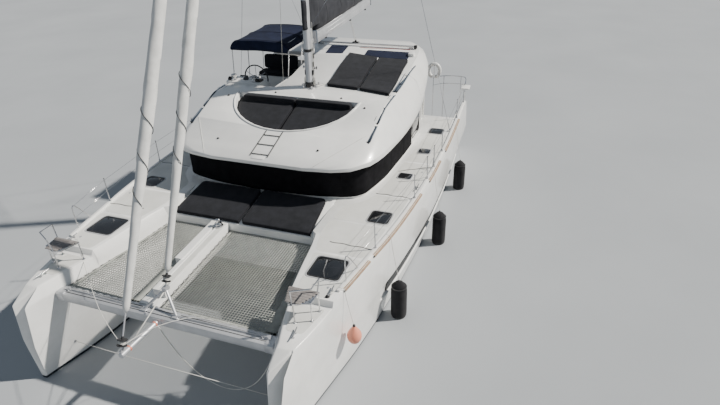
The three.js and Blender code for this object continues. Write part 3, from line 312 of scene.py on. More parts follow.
def soften_bow(piece):
    """Joins the flat faces of a hull's bow and rounds its sharp edges."""
    mesh = piece.data
    fore = {v.index for v in mesh.vertices if v.co.x > BOW_FROM}
    # the seams keep the joining of faces away from the hatch openings further aft
    for line in mesh.edges:
        line.use_seam = not fore.issuperset(line.vertices)
    weights = mesh.attributes.new("bevel_weight_edge", "FLOAT", "EDGE")
    for index in sharp_edges(mesh, fore):
        weights.data[index].value = 1.0
    flat = piece.modifiers.new("flat", "DECIMATE")
    flat.decimate_type, flat.angle_limit, flat.delimit = "DISSOLVE", FLAT_ANGLE, {"SEAM"}
    edge = piece.modifiers.new("bow", "BEVEL")
    edge.width, edge.segments, edge.use_clamp_overlap = BOW_EDGE, 4, False
    edge.limit_method = "WEIGHT"


def soften(piece, width, bow=False):
    """Rounds a piece's edges and shades its curved faces smooth, with modifiers only."""
    mesh = piece.data
    if mesh.has_custom_normals:
        mesh.attributes.remove(mesh.attributes["custom_normal"])
    mesh.shade_smooth()
    weld = piece.modifiers.new("weld", "WELD")
    weld.merge_threshold = 0.0002
    if bow:
        soften_bow(piece)
    if width:
        edge = piece.modifiers.new("edge", "BEVEL")
        edge.width, edge.segments = width, 2
        edge.limit_method, edge.angle_limit = "ANGLE", SMOOTH_ANGLE
    split = piece.modifiers.new("split", "EDGE_SPLIT")
    split.split_angle = SMOOTH_ANGLE


def dress_frame():
    for name, node in NODES.items():
        kind = max((k for k in LOOK_OF if name.startswith(k)), key=len)
        node.data.materials.clear()
        node.data.materials.append(LOOKS[LOOK_OF[kind]])
        if kind == "side_rail":
            node.data.materials.append(LOOKS["steel"])
            for polygon in node.data.polygons:
                polygon.material_index = int(polygon.center.z > STANCHIONS_FROM)
        soften(node, EDGE.get(kind, EDGE_ELSE), bow=kind == "hull")


# Lines and outlines
def evenly(a, b, count):
    """The ends and the places between two numbers or points that cut the way into count steps."""
    return [a + (b - a) * k / count for k in range(count + 1)]


def curved(points, steps, closed=False):
    """A smooth line through some points, with steps pieces between each two."""
    points = [Vector(p) for p in points]
    count, line = len(points), []
    last = count - 1
    for i in range(count if closed else last):
        places = [(i + k) % count if closed else max(0, min(last, i + k)) for k in (-1, 0, 1, 2)]
        a, b, c, d = (points[k] for k in places)
        for k in range(steps):
            t = k / steps
            bent = (2 * a - 5 * b + 4 * c - d) * t * t + (3 * b - 3 * c + d - a) * t ** 3
            line.append(0.5 * (2 * b + (c - a) * t + bent))
    return line if closed else line + [points[-1]]


def circle(middle, a, b, steps, size=1.0):
    """A closed line round a middle, with two half axes; its last point is its first."""
    middle, a, b = Vector(middle), Vector(a), Vector(b)
    turns = [2 * math.pi * k / steps for k in range(steps + 1)]
    return [middle + size * (math.cos(t) * a + math.sin(t) * b) for t in turns]


def box_corners(x, y, long, wide):
    return [(x - long / 2, y - wide / 2), (x + long / 2, y - wide / 2),
            (x + long / 2, y + wide / 2), (x - long / 2, y + wide / 2)]


def rounded(x, y, long, wide, radius, steps=5):
    """A rectangle with round corners round its middle, as a flat outline."""
    outline = []
    for quarter, (sx, sy) in enumerate(((1, 1), (-1, 1), (-1, -1), (1, -1))):
        cx, cy = x + sx * (long / 2 - radius), y + sy * (wide / 2 - radius)
        for k in range(steps + 1):
            angle = (quarter + k / steps) * math.pi / 2
            outline.append((cx + radius * math.cos(angle), cy + radius * math.sin(angle)))
    return outline


def soft_corners(corners, radius, steps=5):
    """Any flat outline with its corners rounded."""
    outline = []
    for i, corner in enumerate(corners):
        here = Vector(corner)
        back, ahead = (Vector(corners[(i + k) % len(corners)]) - here for k in (-1, 1))
        reach = min(radius, back.length * 0.45, ahead.length * 0.45)
        a, b = here + back.normalized() * reach, here + ahead.normalized() * reach
        for k in range(steps + 1):
            t = k / steps
            outline.append(tuple(a * (1 - t) ** 2 + here * 2 * t * (1 - t) + b * t * t))
    return outline


def closed_pairs(loop):
    return zip(loop, loop[1:] + loop[:1])


def length_of(line):
    return sum(math.dist(a, b) for a, b in zip(line, line[1:]))


def area_of(loop):
    """The area in a flat outline, above 0 where it runs against the clock."""
    return sum(a[0] * b[1] - b[0] * a[1] for a, b in closed_pairs(loop)) / 2


def inset(loop, wide):
    """A flat outline moved inwards, or outwards where wide is below 0."""
    turn = math.copysign(1, area_of(loop))
    moved = []
    for i, corner in enumerate(loop):
        here = Vector(corner)
        before = (here - Vector(loop[i - 1])).normalized()
        after = (Vector(loop[(i + 1) % len(loop)]) - here).normalized()
        normals = [Vector((-d.y, d.x)) * turn for d in (before, after)]
        middle = (normals[0] + normals[1]).normalized()
        moved.append(tuple(here + middle * wide / max(0.3, middle.dot(normals[0]))))
    return moved


def inside(loop, x, y):
    hits = 0
    for (ax, ay), (bx, by) in closed_pairs(loop):
        if (ay > y) != (by > y) and x < ax + (y - ay) * (bx - ax) / (by - ay):
            hits += 1
    return hits % 2 == 1


def spaced(loop, step):
    """A flat closed outline with points no further apart than a step."""
    line = []
    for a, b in closed_pairs(loop):
        count = max(1, math.ceil(math.dist(a, b) / step))
        dx, dy = b[0] - a[0], b[1] - a[1]
        line += [(a[0] + dx * k / count, a[1] + dy * k / count) for k in range(count)]
    return line


def crossings(loop, axis, value):
    """The outermost places where a flat outline crosses a line along the other axis."""
    found = []
    for a, b in closed_pairs(loop):
        if (a[axis] > value) != (b[axis] > value):
            share = (value - a[axis]) / (b[axis] - a[axis])
            found.append(a[1 - axis] + share * (b[1 - axis] - a[1 - axis]))
    return min(found), max(found)


def apart_from(point, a, b):
    """How far a flat point lies from a stretch of line."""
    way = b - a
    share = max(0.0, min(1.0, (point - a).dot(way) / max(1e-12, way.length_squared)))
    return (point - a - way * share).length


def resampled(line, count):
    """A line cut into pieces of equal length."""
    line = [Vector(p) for p in line]
    lengths = [0.0]
    for a, b in zip(line, line[1:]):
        lengths.append(lengths[-1] + (b - a).length)
    points, i = [], 0
    for k in range(count + 1):
        want = lengths[-1] * k / count
        while i < len(line) - 2 and lengths[i + 1] < want:
            i += 1
        share = (want - lengths[i]) / max(1e-9, lengths[i + 1] - lengths[i])
        points.append(line[i].lerp(line[i + 1], share))
    return points


def zigzag(line, other, pitch):
    """Points that jump between two lines of equal shape, a pitch apart."""
    count = max(2, round(length_of(line) / pitch))
    ways = resampled(other, count), resampled(line, count)
    return [ways[k % 2][k] for k in range(count + 1)]


def rim_of(faces):
    """The open edges of a patch of faces, as pairs of points."""
    pairs = {(a, b): None for face in faces for a, b in closed_pairs(face)}
    return [(a, b) for a, b in pairs if (b, a) not in pairs]


class Shape:
    """Closed forms collected into one mesh."""

    def __init__(self):
        self.points, self.faces = [], []

    def skin(self, rings, caps=True):
        count, start = len(rings[0]), len(self.points)
        for ring in rings:
            self.points += [Vector(p) for p in ring]
        for r in range(len(rings) - 1):
            for i in range(count):
                a, b = start + r * count + i, start + r * count + (i + 1) % count
                self.faces.append((a, b, b + count, a + count))
        if caps:
            last = start + (len(rings) - 1) * count
            self.faces += [tuple(range(start, start + count)), tuple(range(last, last + count))]
        return self

    def box(self, low, high):
        (x0, y0, z0), (x1, y1, z1) = low, high
        ring = ((x0, y0), (x1, y0), (x1, y1), (x0, y1))
        return self.skin([[(x, y, z) for x, y in ring] for z in (z0, z1)])

    def plate(self, outline, z0, z1, hole=None):
        """A flat plate between two heights, each a number or a function of x and y.

        A hole has as many points as the outline.
        """
        low, high = (z if callable(z) else (lambda x, y, z=z: z) for z in (z0, z1))
        loops = [(outline, low), (outline, high)]
        if hole:
            loops += [(hole, high), (hole, low), (outline, low)]
        return self.skin([[(x, y, z(x, y)) for x, y in loop] for loop, z in loops], caps=not hole)

    def tube(self, points, radius, sides=12, steps=0):
        """A tube along a line, or along the smooth line through its points where steps is given."""
        line = curved(points, steps) if steps else [Vector(p) for p in points]
        last = len(line) - 1
        ways = [(line[min(i + 1, last)] - line[max(i - 1, 0)]).normalized() for i in range(last + 1)]
        across = ways[0].orthogonal().normalized()
        rings = []
        for i, (point, way) in enumerate(zip(line, ways)):
            across = (across - way * across.dot(way)).normalized()
            wide = radius(i / last) if callable(radius) else radius
            rings.append(circle(point, across, way.cross(across), sides, wide)[:-1])
        return self.skin(rings)

    def lathe(self, foot, way, profile, sides=24):
        """A turned form from a foot along a way; profile lists distance and radius."""
        foot, way = Vector(foot), Vector(way).normalized()
        across = way.orthogonal().normalized()
        other = way.cross(across)
        return self.skin([circle(foot + way * s, across, other, sides, r)[:-1] for s, r in profile])

    def done(self, name, material, body="root", stands=(), edge=None):
        """The mesh as a piece; edge is how wide its edges are rounded, and None leaves it all smooth."""
        mesh = bpy.data.meshes.new(name)
        mesh.from_pydata(self.points, [], self.faces)
        work = bmesh.new()
        work.from_mesh(mesh)
        bmesh.ops.recalc_face_normals(work, faces=work.faces)
        work.to_mesh(mesh)
        work.free()
        mesh.materials.append(LOOKS[material])
        piece = bpy.data.objects.new(name, mesh)
        bpy.context.scene.collection.objects.link(piece)
        if edge is None:
            mesh.shade_smooth()
        else:
            soften(piece, edge)
        if body:
            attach(piece, body)
        if stands:
            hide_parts(*stands)
        return piece


# Places on the CAD nodes
SURFACES = {}
ABOVE, BELOW, BESIDE = 9, -9, 6
# How far a ray that slips through at an edge starts again to the side
SHIFTS = (0, 0.001, -0.001, 0.004, -0.004, 0.012, -0.012)


def land(nodes, point, way=(0, 0, -1)):
    """Where a ray first meets some CAD nodes, or None."""
    if nodes not in SURFACES:
        points, faces = [], []
        for name in nodes:
            start = len(points)
            points += [v.co.copy() for v in NODES[name].data.vertices]
            faces += [[start + i for i in p.vertices] for p in NODES[name].data.polygons]
        SURFACES[nodes] = BVHTree.FromPolygons(points, faces)
    for shift in SHIFTS:
        begin = Vector(point) + Vector((shift, shift * 0.7, shift * 0.3))
        hit = SURFACES[nodes].ray_cast(begin, Vector(way))[0]
        if hit is not None:
            return hit
    return None


def side_name(side):
    return "port" if side > 0 else "starboard"


def edge_y(x, side, z=2.12):
    """The hull's outer face at a place along it."""
    return land((f"hull_{side_name(side)}",), (x, side * BESIDE, z), (0, -side, 0)).y


def deck_z(x, y):
    """The top of the hull's deck at a place."""
    return land((f"hull_{side_name(y)}",), (x, y, BESIDE)).z


def on_roof(x, y, lift=0.0):
    return land(("coachroof",), (x, y, ABOVE)) + UP * lift


def plan_of(node):
    """The plan outline of a CAD node that is convex from above."""
    points = [v.co.xy for v in NODES[node].data.vertices]
    return [tuple(points[i]) for i in convex_hull_2d(points)]


def filled(outline, holes=(), step=0.15):
    """Flat points and triangles over an outline with holes."""
    loops = [spaced(list(loop), step) for loop in (outline, *holes)]
    points, pairs = [], []
    for loop in loops:
        start = len(points)
        points += loop
        pairs += [(start + i, start + (i + 1) % len(loop)) for i in range(len(loop))]
    lows, highs = ([pick(p[k] for p in loops[0]) for k in (0, 1)] for pick in (min, max))
    counts = [max(1, round((high - low) / step)) for low, high in zip(lows, highs)]
    edge = list(points)

    def within(x, y):
        return inside(loops[0], x, y) and not any(inside(hole, x, y) for hole in loops[1:])

    for i in range(1, counts[0]):
        for j in range(1, counts[1]):
            x = lows[0] + (highs[0] - lows[0]) * i / counts[0]
            y = lows[1] + (highs[1] - lows[1]) * (j + 0.25 * (i % 2)) / counts[1]
            if within(x, y) and min(math.dist((x, y), p) for p in edge) > 0.45 * step:
                points.append((x, y))
    flat, _, faces, *_ = delaunay_2d_cdt([Vector(p) for p in points], pairs, [], 0, 1e-6)
    middles = [[sum(flat[i][k] for i in face) / len(face) for k in (0, 1)] for face in faces]
    return flat, [tuple(face) for face, (x, y) in zip(faces, middles) if within(x, y)]


def draped(name, outline, material, nodes, holes=(), lift=0.002, step=0.15, start=8.0, side=0):
    """A thin layer over CAD nodes, from above; its outline is in x and z where a side is given."""
    flat, faces = filled(outline, holes, step)
    way = Vector((0, -side, 0)) if side else -UP
    top = []
    for a, b in flat:
        begin = Vector((a, side * BESIDE, b) if side else (a, b, start))
        hit = land(nodes, begin, way)
        top.append(begin if hit is None else hit)
    shape = Shape()
    shape.points = [p - way * lift for p in top] + [p + way * 0.004 for p in top]
    shape.faces = list(faces) + [(a, b, b + len(top), a + len(top)) for a, b in rim_of(faces)]
    return shape.done(name, material, edge=0)


# Pads
CLOTH_PRESSURE, CLOTH_FRAMES = 4.0, 20
PAD_STEP, PAD_ROWS, PAD_CAP, PAD_LOW = 0.032, 3, 0.012, 0.004
PIPING = 0.005


def smoothed(piece):
    """Ends a padded piece with one level of smoothing."""
    smooth = piece.modifiers.new("smooth", "SUBSURF")
    smooth.levels = smooth.render_levels = 1


def swell(piece, fixed):
    """Blows a closed shell up with the cloth solver; fixed points stay, and the others move little."""
    start = [v.co.copy() for v in piece.data.vertices]
    modifier = piece.modifiers.new("swell", "CLOTH")
    cloth = modifier.settings
    cloth.quality, cloth.mass = 4, 0.3
    cloth.use_pressure, cloth.uniform_pressure_force = True, CLOTH_PRESSURE
    cloth.effector_weights.gravity = 0
    modifier.point_cache.frame_start, modifier.point_cache.frame_end = 1, CLOTH_FRAMES
    scene = bpy.context.scene
    for number in range(1, CLOTH_FRAMES + 1):
        scene.frame_set(number)
    swollen = piece.evaluated_get(bpy.context.evaluated_depsgraph_get()).to_mesh()
    moves = [v.co - begin for v, begin in zip(swollen.vertices, start)]
    piece.modifiers.remove(modifier)
    scene.frame_set(1)
    for i, (vertex, move) in enumerate(zip(piece.data.vertices, moves)):
        if i not in fixed and move.length > 1e-9:
            vertex.co = start[i] + move.normalized() * min(move.length, PAD_CAP)


def cushion(node, radius):
    """A crowned pad over a CAD pad's plan, flat underneath, with piping along its upper edge."""
    outline = soft_corners(inset(plan_of(node), 0.008), radius, 6)
    flat, faces = filled(outline, (), PAD_STEP)
    count, rim = len(flat), rim_of(faces)
    loop = [Vector(p) for p in outline]
    shape = Shape()
    shape.points = [land((node,), (x, y, BELOW), UP) + UP * PAD_LOW for x, y in flat]
    for x, y in flat:
        near = min(apart_from(Vector((x, y)), a, b) for a, b in closed_pairs(loop))
        crown = -0.016 + 0.012 * min(1, near / 0.08) ** 0.5
        shape.points.append(land((node,), (x, y, ABOVE)) + UP * crown)
    shape.faces = [tuple(reversed(face)) for face in faces] + [tuple(i + count for i in f) for f in faces]
    rows = {}
    for i in sorted({i for pair in rim for i in pair}):
        rows[i] = [i]
        for k in range(1, PAD_ROWS):
            rows[i].append(len(shape.points))
            shape.points.append(shape.points[i].lerp(shape.points[i + count], k / PAD_ROWS))
        rows[i].append(i + count)
    for a, b in rim:
        for k in range(PAD_ROWS):
            shape.faces.append((rows[a][k], rows[b][k], rows[b][k + 1], rows[a][k + 1]))
    piece = shape.done(f"{node}_cushion", "cushion", stands=(node,))
    swell(piece, set(range(count)))
    smoothed(piece)
    order, follow = [rim[0][0]], dict(rim)
    while len(order) < len(rim):
        order.append(follow[order[-1]])
    line = [piece.data.vertices[i + count].co + UP * 0.001 for i in order]
    Shape().tube(line + line[:1], PIPING, 6).done(f"{node}_piping", "piping")


def pillow(name, low, high, power, cuts=13, turn=None):
    """A small crowned cushion that fills a box; its corners pull in."""
    low, high = Vector(low), Vector(high)
    work = bmesh.new()
    bmesh.ops.create_cube(work, size=2)
    bmesh.ops.subdivide_edges(work, edges=work.edges, cuts=cuts, use_grid_fill=True)
    shape = Shape()
    for vertex in work.verts:
        round_off = sum(abs(c) ** power for c in vertex.co) ** (1 / power)
        point = Vector(c / round_off * h for c, h in zip(vertex.co, (high - low) / 2))
        shape.points.append((turn @ point if turn else point) + (low + high) / 2)
    shape.faces = [tuple(v.index for v in face.verts) for face in work.faces]
    work.free()
    smoothed(shape.done(name, "cushion"))


# Cloth and nets
def thickened(name, rows, wide, material, body="root", stands=()):
    """A sheet through rows of points, wide thick."""
    across, along = len(rows[0]), len(rows)
    shape = Shape()
    flat = [Vector(p) for row in rows for p in row]
    normals, quads = [], []
    for r in range(along):
        back, ahead = max(0, r - 1) * across, min(along - 1, r + 1) * across
        for i in range(across):
            left, right = r * across + max(0, i - 1), r * across + min(across - 1, i + 1)
            over, up = flat[right] - flat[left], flat[ahead + i] - flat[back + i]
            normals.append(over.cross(up).normalized())
    for r in range(along - 1):
        for a in range(r * across, (r + 1) * across - 1):
            quads.append((a, a + 1, a + across + 1, a + across))
    shape.points = flat + [p - n * wide for p, n in zip(flat, normals)]
    size = len(flat)
    border = [*range(across), *((r + 1) * across - 1 for r in range(1, along))]
    border += [*range(size - 2, size - across - 1, -1), *(r * across for r in range(along - 2, 0, -1))]
    shape.faces = quads + [tuple(i + size for i in reversed(q)) for q in quads]
    shape.faces += [(b, a, a + size, b + size) for a, b in closed_pairs(border)]
    return shape.done(name, material, body, stands)


NET_MESH, NET_CORD, NET_BORDER, NET_MARGIN = 0.060, 0.0138, 0.06, 0.036
NET_Z = 1.751
LACING_PITCH, LACING_CORD, CORNER_CUT = 0.09, 0.006, 0.12


def make_net(name):
    """A trampoline: crossed cords in a hem, stretched, with its lacing all round."""
    node = f"trampoline_{name}"
    outline = plan_of(node)
    inner = inset(outline, NET_BORDER)
    net = Shape()
    for axis, z in ((1, NET_Z + 0.002), (0, NET_Z - 0.002)):
        low, high = (pick(p[axis] for p in inner) for pick in (min, max))
        count = round((high - low) / NET_MESH)
        for value in evenly(low, high, count)[1:-1]:
            a, b = crossings(inner, axis, value)
            ends = [(a - 0.02, value), (b + 0.02, value)]
            net.tube([(*(end if axis == 1 else end[::-1]), z) for end in ends], NET_CORD / 2, 6)
    net.plate(outline, NET_Z - 0.004, NET_Z + 0.004, hole=inner)
    piece = net.done(f"net_{name}", "net", stands=(node,))
    lacing, dark = Shape(), Shape()
    reach = inset(outline, -NET_MARGIN)
    for (a, b), far in zip(closed_pairs(outline), closed_pairs(reach)):
        if math.dist(a, b) < CORNER_CUT:
            continue
        near, far = ([(*p, NET_Z + LACING_CORD) for p in ends] for ends in ((a, b), far))
        across = abs(b[1] - a[1]) > abs(b[0] - a[0])
        (lacing if across else dark).tube(zigzag(near, far, LACING_PITCH), LACING_CORD, 6)
    lacing.done(f"net_lacing_{name}", "rope")
    dark.done(f"net_side_lacing_{name}", "black")


# Rolled sails: name, foot of the stay, its lean, radius at the foot and at the belly, where the cloth
# begins along the stay, the height of the stay's top, and the clew's place along the stay
ROLLS = (
    ("genoa_roll", (5.835, 0, 2.1972), -0.4975, 0.062, 0.116, 0.33, 16.704, 4.25),
    ("code_sail_roll", (7.2, 0, 1.8178), -0.538, 0.066, 0.118, 0.72, 17.839, 4.45),
)
ROLL_SIDES, ROLL_STEP, CLEW_TURN = 28, 0.065, 2.4
SHEET_STEPS, SHEET_DROP, SHEET_TURN = 80, 1.9, 5.5 * math.pi
DRUM = ((0.088, 0.03), (0.09, 0.088), (0.102, 0.09), (0.106, 0.05), (0.19, 0.05), (0.194, 0.09),
        (0.206, 0.088), (0.21, 0.03), (0.26, 0.022))
SWIVEL = ((0, 0.015), (0.01, 0.04), (0.12, 0.04), (0.14, 0.015))
FURLING_RADIUS, FURLING_PITCH = 0.057, 0.014


def make_roll(name, foot, slope, wide, belly, begin, top, clew):
    """A sail rolled round its stay, with ridges and a bulge at the clew, its sheet, foil and drum."""
    foot = Vector(foot)
    head = Vector((foot.x + slope * (top - foot.z), 0, top))
    way, length = (head - foot).normalized(), (head - foot).length
    across = way.orthogonal().normalized()
    other = way.cross(across)
    profile = [(begin - 0.05, 0.016), (begin, wide * 0.8), (begin + 0.05, wide), (begin + 0.9, wide * 1.15),
               (begin + 3.6, belly), (begin + 6.5, belly * 0.96), (length - 0.9, 0.042),
               (length - 0.5, 0.016)]
    low, high = profile[0][0], profile[-1][0]
    rings, count = [], round((length - 0.5 - begin) / ROLL_STEP)
    for s in evenly(low, high, count):
        a, b = next((a, b) for a, b in zip(profile, profile[1:]) if s <= b[0] + 1e-6)
        radius = a[1] + (b[1] - a[1]) * (s - a[0]) / (b[0] - a[0])
        swollen = 0.22 * math.exp(-(((s - clew) / 0.2) ** 2))
        ring = []
        for i in range(ROLL_SIDES):
            angle = 2 * math.pi * i / ROLL_SIDES
            turn = (angle - s * 5.2) % (2 * math.pi) / (2 * math.pi)
            ridge = 0.90 + 0.10 * turn + 0.018 * math.sin(angle * 3 + s * 7)
            ridge += swollen * max(0, math.cos(angle - CLEW_TURN)) ** 3
            out = math.cos(angle) * across + math.sin(angle) * other
            ring.append(foot + way * s + radius * ridge * out)
        rings.append(ring)
    Shape().skin(rings).done(name + "_cloth", "sail", stands=(name,))
    # the sheet, wound round the roll below its clew
    turns = []
    for k in range(SHEET_STEPS + 1):
        s, angle = clew - SHEET_DROP * k / SHEET_STEPS, CLEW_TURN + SHEET_TURN * k / SHEET_STEPS
        near = rings[round((s - low) / (high - low) * count)]
        radius = (near[0] - (foot + way * s)).length + 0.006
        turns.append(foot + way * s + radius * (math.cos(angle) * across + math.sin(angle) * other))
    Shape().tube(turns, 0.007, 6).done(name + "_sheet", "black")
    metal = Shape()
    foil = [(0, 0.012), (0.09, 0.014), (begin, 0.015), (length - 0.55, 0.015), (length, 0.014)]
    metal.lathe(foot, way, foil, 14)
    metal.lathe(foot + way * (length - 0.52), way, SWIVEL, 20)
    metal.done(name + "_foil", "alloy", edge=0.002)
    Shape().lathe(foot, way, DRUM, 30).done(name + "_drum", "black", edge=0.002)
    line = Shape()
    for k in range(5):
        middle = foot + way * (0.12 + FURLING_PITCH * k)
        ring = circle(middle, across, other, 24, FURLING_RADIUS)
        line.tube([p + way * FURLING_PITCH * i / 24 for i, p in enumerate(ring)], ROPE, 6)
    line.done(name + "_furling_turns", "rope")


# Window cover
COVER_LOW, COVER_HIGH, COVER_STEPS, COVER_ROWS = 2.215, 2.985, 150, 14
CABIN_MIDDLE = Vector((-1.9, 0, 2.6))


def make_window_cover():
    """The cloth over the front windows, stretched round the cabin, hemmed, with upright seams."""
    path = []
    for k in range(-180, 181):
        way = Vector((math.cos(k * math.pi / 360), math.sin(k * math.pi / 360), 0))
        hit = land(("window_cover",), CABIN_MIDDLE + way * BESIDE, -way)
        if hit:
            path.append(hit)
    path = resampled(path, COVER_STEPS)
    smooth = [(a + b * 2 + c) / 4 for a, b, c in zip(path, path[1:], path[2:])]
    smooth = [path[0], *smooth, path[-1]]
    last, rows = COVER_STEPS, []
    for r, z in enumerate(evenly(COVER_LOW, COVER_HIGH, COVER_ROWS)):
        row = []
        for i, (x, y, _) in enumerate(smooth):
            out = (smooth[min(i + 1, last)] - smooth[max(i - 1, 0)]).cross(UP).normalized()
            sway = noise.noise(Vector((x * 2.2, y * 2.2, z * 1.2))) * math.sin(math.pi * r / COVER_ROWS)
            row.append(Vector((x, y, z)) + out * 0.002 * (2 + sway))
        rows.append(row)
    piece = thickened("window_cover_cloth", rows, 0.003, "cover", stands=("window_cover",))
    seams, studs = Shape(), Shape()
    for i in range(10, last, 13):
        seams.tube([row[i] for row in rows], 0.004, 6)
    for edge in (rows[0], rows[-1]):
        seams.tube(edge, HEM, 6)
    seams.done("window_cover_seams", "piping")
    for i in range(2, last, 6):
        for row in (rows[0], rows[-1]):
            out = (row[min(i + 1, last)] - row[i - 1]).cross(UP).normalized()
            studs.lathe(row[i] - out * 0.002, out, [(0, 0.008), (0.006, 0.008), (0.009, 0.004)], 10)
    studs.done("window_cover_studs", "steel", edge=0)


# Helm canopy
CANOPY_FORE, CANOPY_AFT = -1.853, -3.895
CANOPY_PROFILE = ((-2.815, 4.70), (-2.66, 4.878), (-2.25, 4.922), (-1.75, 4.936), (-1.30, 4.916),
                  (-1.01, 4.86), (-0.885, 4.70))
HOOPS_X = (-1.93, -2.86, -3.82)


def make_canopy():
    """The helm bimini: one cloth over three hoops, hanging down ahead."""
    profile = curved([(0, y, z) for y, z in CANOPY_PROFILE], 6)

    def rise(x):
        return 0.060 * min(1, max(0, (x + 1.93) / -1.89))

    rows = []
    for drop in (0.30, 0.22, 0.14, 0.07, 0.02):
        row = []
        for p in profile:
            z = max(4.633, p.z - drop + 0.02) if p.z > 4.72 else p.z - 0.03
            row.append(Vector((CANOPY_FORE - 0.004 * math.sin(9 * p.y), p.y, z)))
        rows.append(row)
    for x in evenly(CANOPY_FORE - 0.008, CANOPY_AFT, 30):
        sag = 0.02 * math.sin(min(1, min(abs(x - h) for h in HOOPS_X) / 0.46) * math.pi / 2)
        rows.append([Vector((x, p.y, p.z + 0.012 + rise(x) - sag * (p.z > 4.8))) for p in profile])
    piece = thickened("bimini_cloth", rows, 0.004, "navy", stands=("bimini_top",))
    seams = Shape()
    for x in HOOPS_X:
        seams.tube([(x, p.y, p.z + 0.014 + rise(x)) for p in profile], HEM, 6)
    for edge in (rows[0], rows[-1], [row[0] for row in rows], [row[-1] for row in rows]):
        seams.tube(edge, 0.005, 6)
    seams.done("bimini_seams", "piping")


# Sail bag on the boom: sections along it (place, height, half width), and half of its outline
BAG_SECTIONS = ((-1.8, 0.90, 0.075), (-1.9, 0.89, 0.14), (-2.3, 0.85, 0.17), (-3.5, 0.70, 0.18),
                (-5.2, 0.52, 0.165), (-6.4, 0.40, 0.12), (-6.5, 0.37, 0.06))
BAG_SIDE = ((0.45, 0.0), (0.9, 0.1), (1.0, 0.36), (0.62, 0.8), (0.1, 1.0))
BAG_FORE, BAG_LONG, BAG_STEPS = -1.8, 4.7, 60
# Where the lazy jacks and straps hold the bag, with its height and half width there
JACKS = ((-2.4, 0.85, 0.17), (-3.55, 0.69, 0.18), (-4.7, 0.58, 0.17), (-5.85, 0.46, 0.145))
BOOM_FORE, BOOM_LOW, BOOM_HIGH, BOOM_RISE = -1.64, 5.0, 5.33, 0.04


def on_boom(x, z):
    """A height along the boom, which rises a little towards its aft end."""
    return z + (BOOM_FORE - x) * BOOM_RISE


def make_bag():
    """The sail bag: a loose tube that sags between the lazy jacks, zipped along its top."""
    half_loop = [(y, z, 0) for y, z in BAG_SIDE]
    loop = curved(half_loop + [(-y, z, 0) for y, z, _ in reversed(half_loop)], 4, closed=True)
    rings, ridge = [], []
    for x in evenly(BAG_FORE, BAG_FORE - BAG_LONG, BAG_STEPS):
        a, b = next((a, b) for a, b in zip(BAG_SECTIONS, BAG_SECTIONS[1:]) if x >= b[0] - 1e-9)
        share = (a[0] - x) / (a[0] - b[0])
        high, half = (a[i] + (b[i] - a[i]) * share for i in (1, 2))
        high -= 0.03 * abs(math.sin((x + 1.9) * math.pi / 1.15))
        top = on_boom(x, BOOM_HIGH)
        ring = []
        for p in loop:
            crease = noise.noise(Vector((x * 3, p.x * 2, p.y * 4)))
            fold = 0.014 * crease + 0.006 * math.sin(x * 11 + p.y * 5)
            out = p.x * half * (1 + fold / max(half, 0.1))
            ring.append(Vector((x, out, top + 0.003 + max(0, p.y) * high)))
        rings.append(ring)
        ridge.append(Vector((x, 0, top + high + 0.004)))
    Shape().skin(rings).done("sail_bag_cloth", "bag", "boom", ("sail_bag",))
    Shape().tube(ridge, 0.010, 8).done("sail_bag_zip", "black", "boom")
    straps = Shape()
    for x, *_ in JACKS:
        near = rings[round((BAG_FORE - x) / BAG_LONG * BAG_STEPS)]
        straps.tube([p + UP * 0.001 for p in near], HEM, 6)
    straps.done("sail_bag_straps", "piping", "boom")


# Fenders and buoy: node, place along the hull, foot and head, radius
FENDERS = (("fender_fore", 2.9, -0.15, 1.0, 0.19), ("fender_mid", -0.35, -0.15, 1.0, 0.19),
           ("fender_aft", -3.7, -0.15, 1.0, 0.19), ("fender_buoy", 4.88, 0.86, 1.32, 0.15))
BUOY_FORM = ((0, 0.14), (0.02, 0.3), (0.08, 0.52), (0.16, 0.74), (0.26, 0.9), (0.36, 0.98), (0.46, 0.99),
             (0.58, 0.9), (0.70, 0.7), (0.82, 0.45), (0.90, 0.28), (0.96, 0.16), (1, 0.1))
FENDER_FORM = ((0, 0.12), (0.015, 0.3), (0.04, 0.5), (0.08, 0.7), (0.13, 0.88), (0.2, 0.97), (0.28, 0.99),
               (0.5, 0.98), (0.72, 0.99), (0.8, 0.97), (0.87, 0.88), (0.92, 0.7), (0.96, 0.5),
               (0.985, 0.3), (1, 0.13))
FENDER_EYE = ((0, 0.03), (0.03, 0.028), (0.05, 0.012), (0.055, 0.004))
BAND = ((0, 0.9), (0.001, 0.955), (0.02, 0.955), (0.021, 0.9))


def make_fenders():
    for name, x, low, high, radius in FENDERS:
        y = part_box(name)[1][1] - radius
        tall, buoy = high - low, name == "fender_buoy"
        form = [(s * tall, r * radius) for s, r in (BUOY_FORM if buoy else FENDER_FORM)]
        body = Shape().lathe((x, y, low), UP, form, 32)
        piece = body.done(name + "_body", "buoy" if buoy else "fender", stands=(name,))
        rail = land(("side_rail_port",), (x, BESIDE, 2.18), (0, -1, 0)).y
        hull = edge_y(x, 1, 2.1)
        rope = [(x, y, high - 0.01), (x, y + (hull - y) * 0.7, high + (DECK_Z - high) * 0.72),
                (x, hull + 0.02, DECK_Z), (x, rail + 0.01, 2.186), (x, rail - 0.04, 2.203)]
        Shape().tube(rope, ROPE, 6, 6).done(name + "_lanyard", "rope")
        eye = Shape().lathe((x, y, high - 0.02), UP, FENDER_EYE, 16)
        for band in () if buoy else (0.16, 0.86):
            eye.lathe((x, y, low + band * tall), UP, [(s, r * radius) for s, r in BAND], 32)
        eye.done(name + "_eye", "black", edge=0)


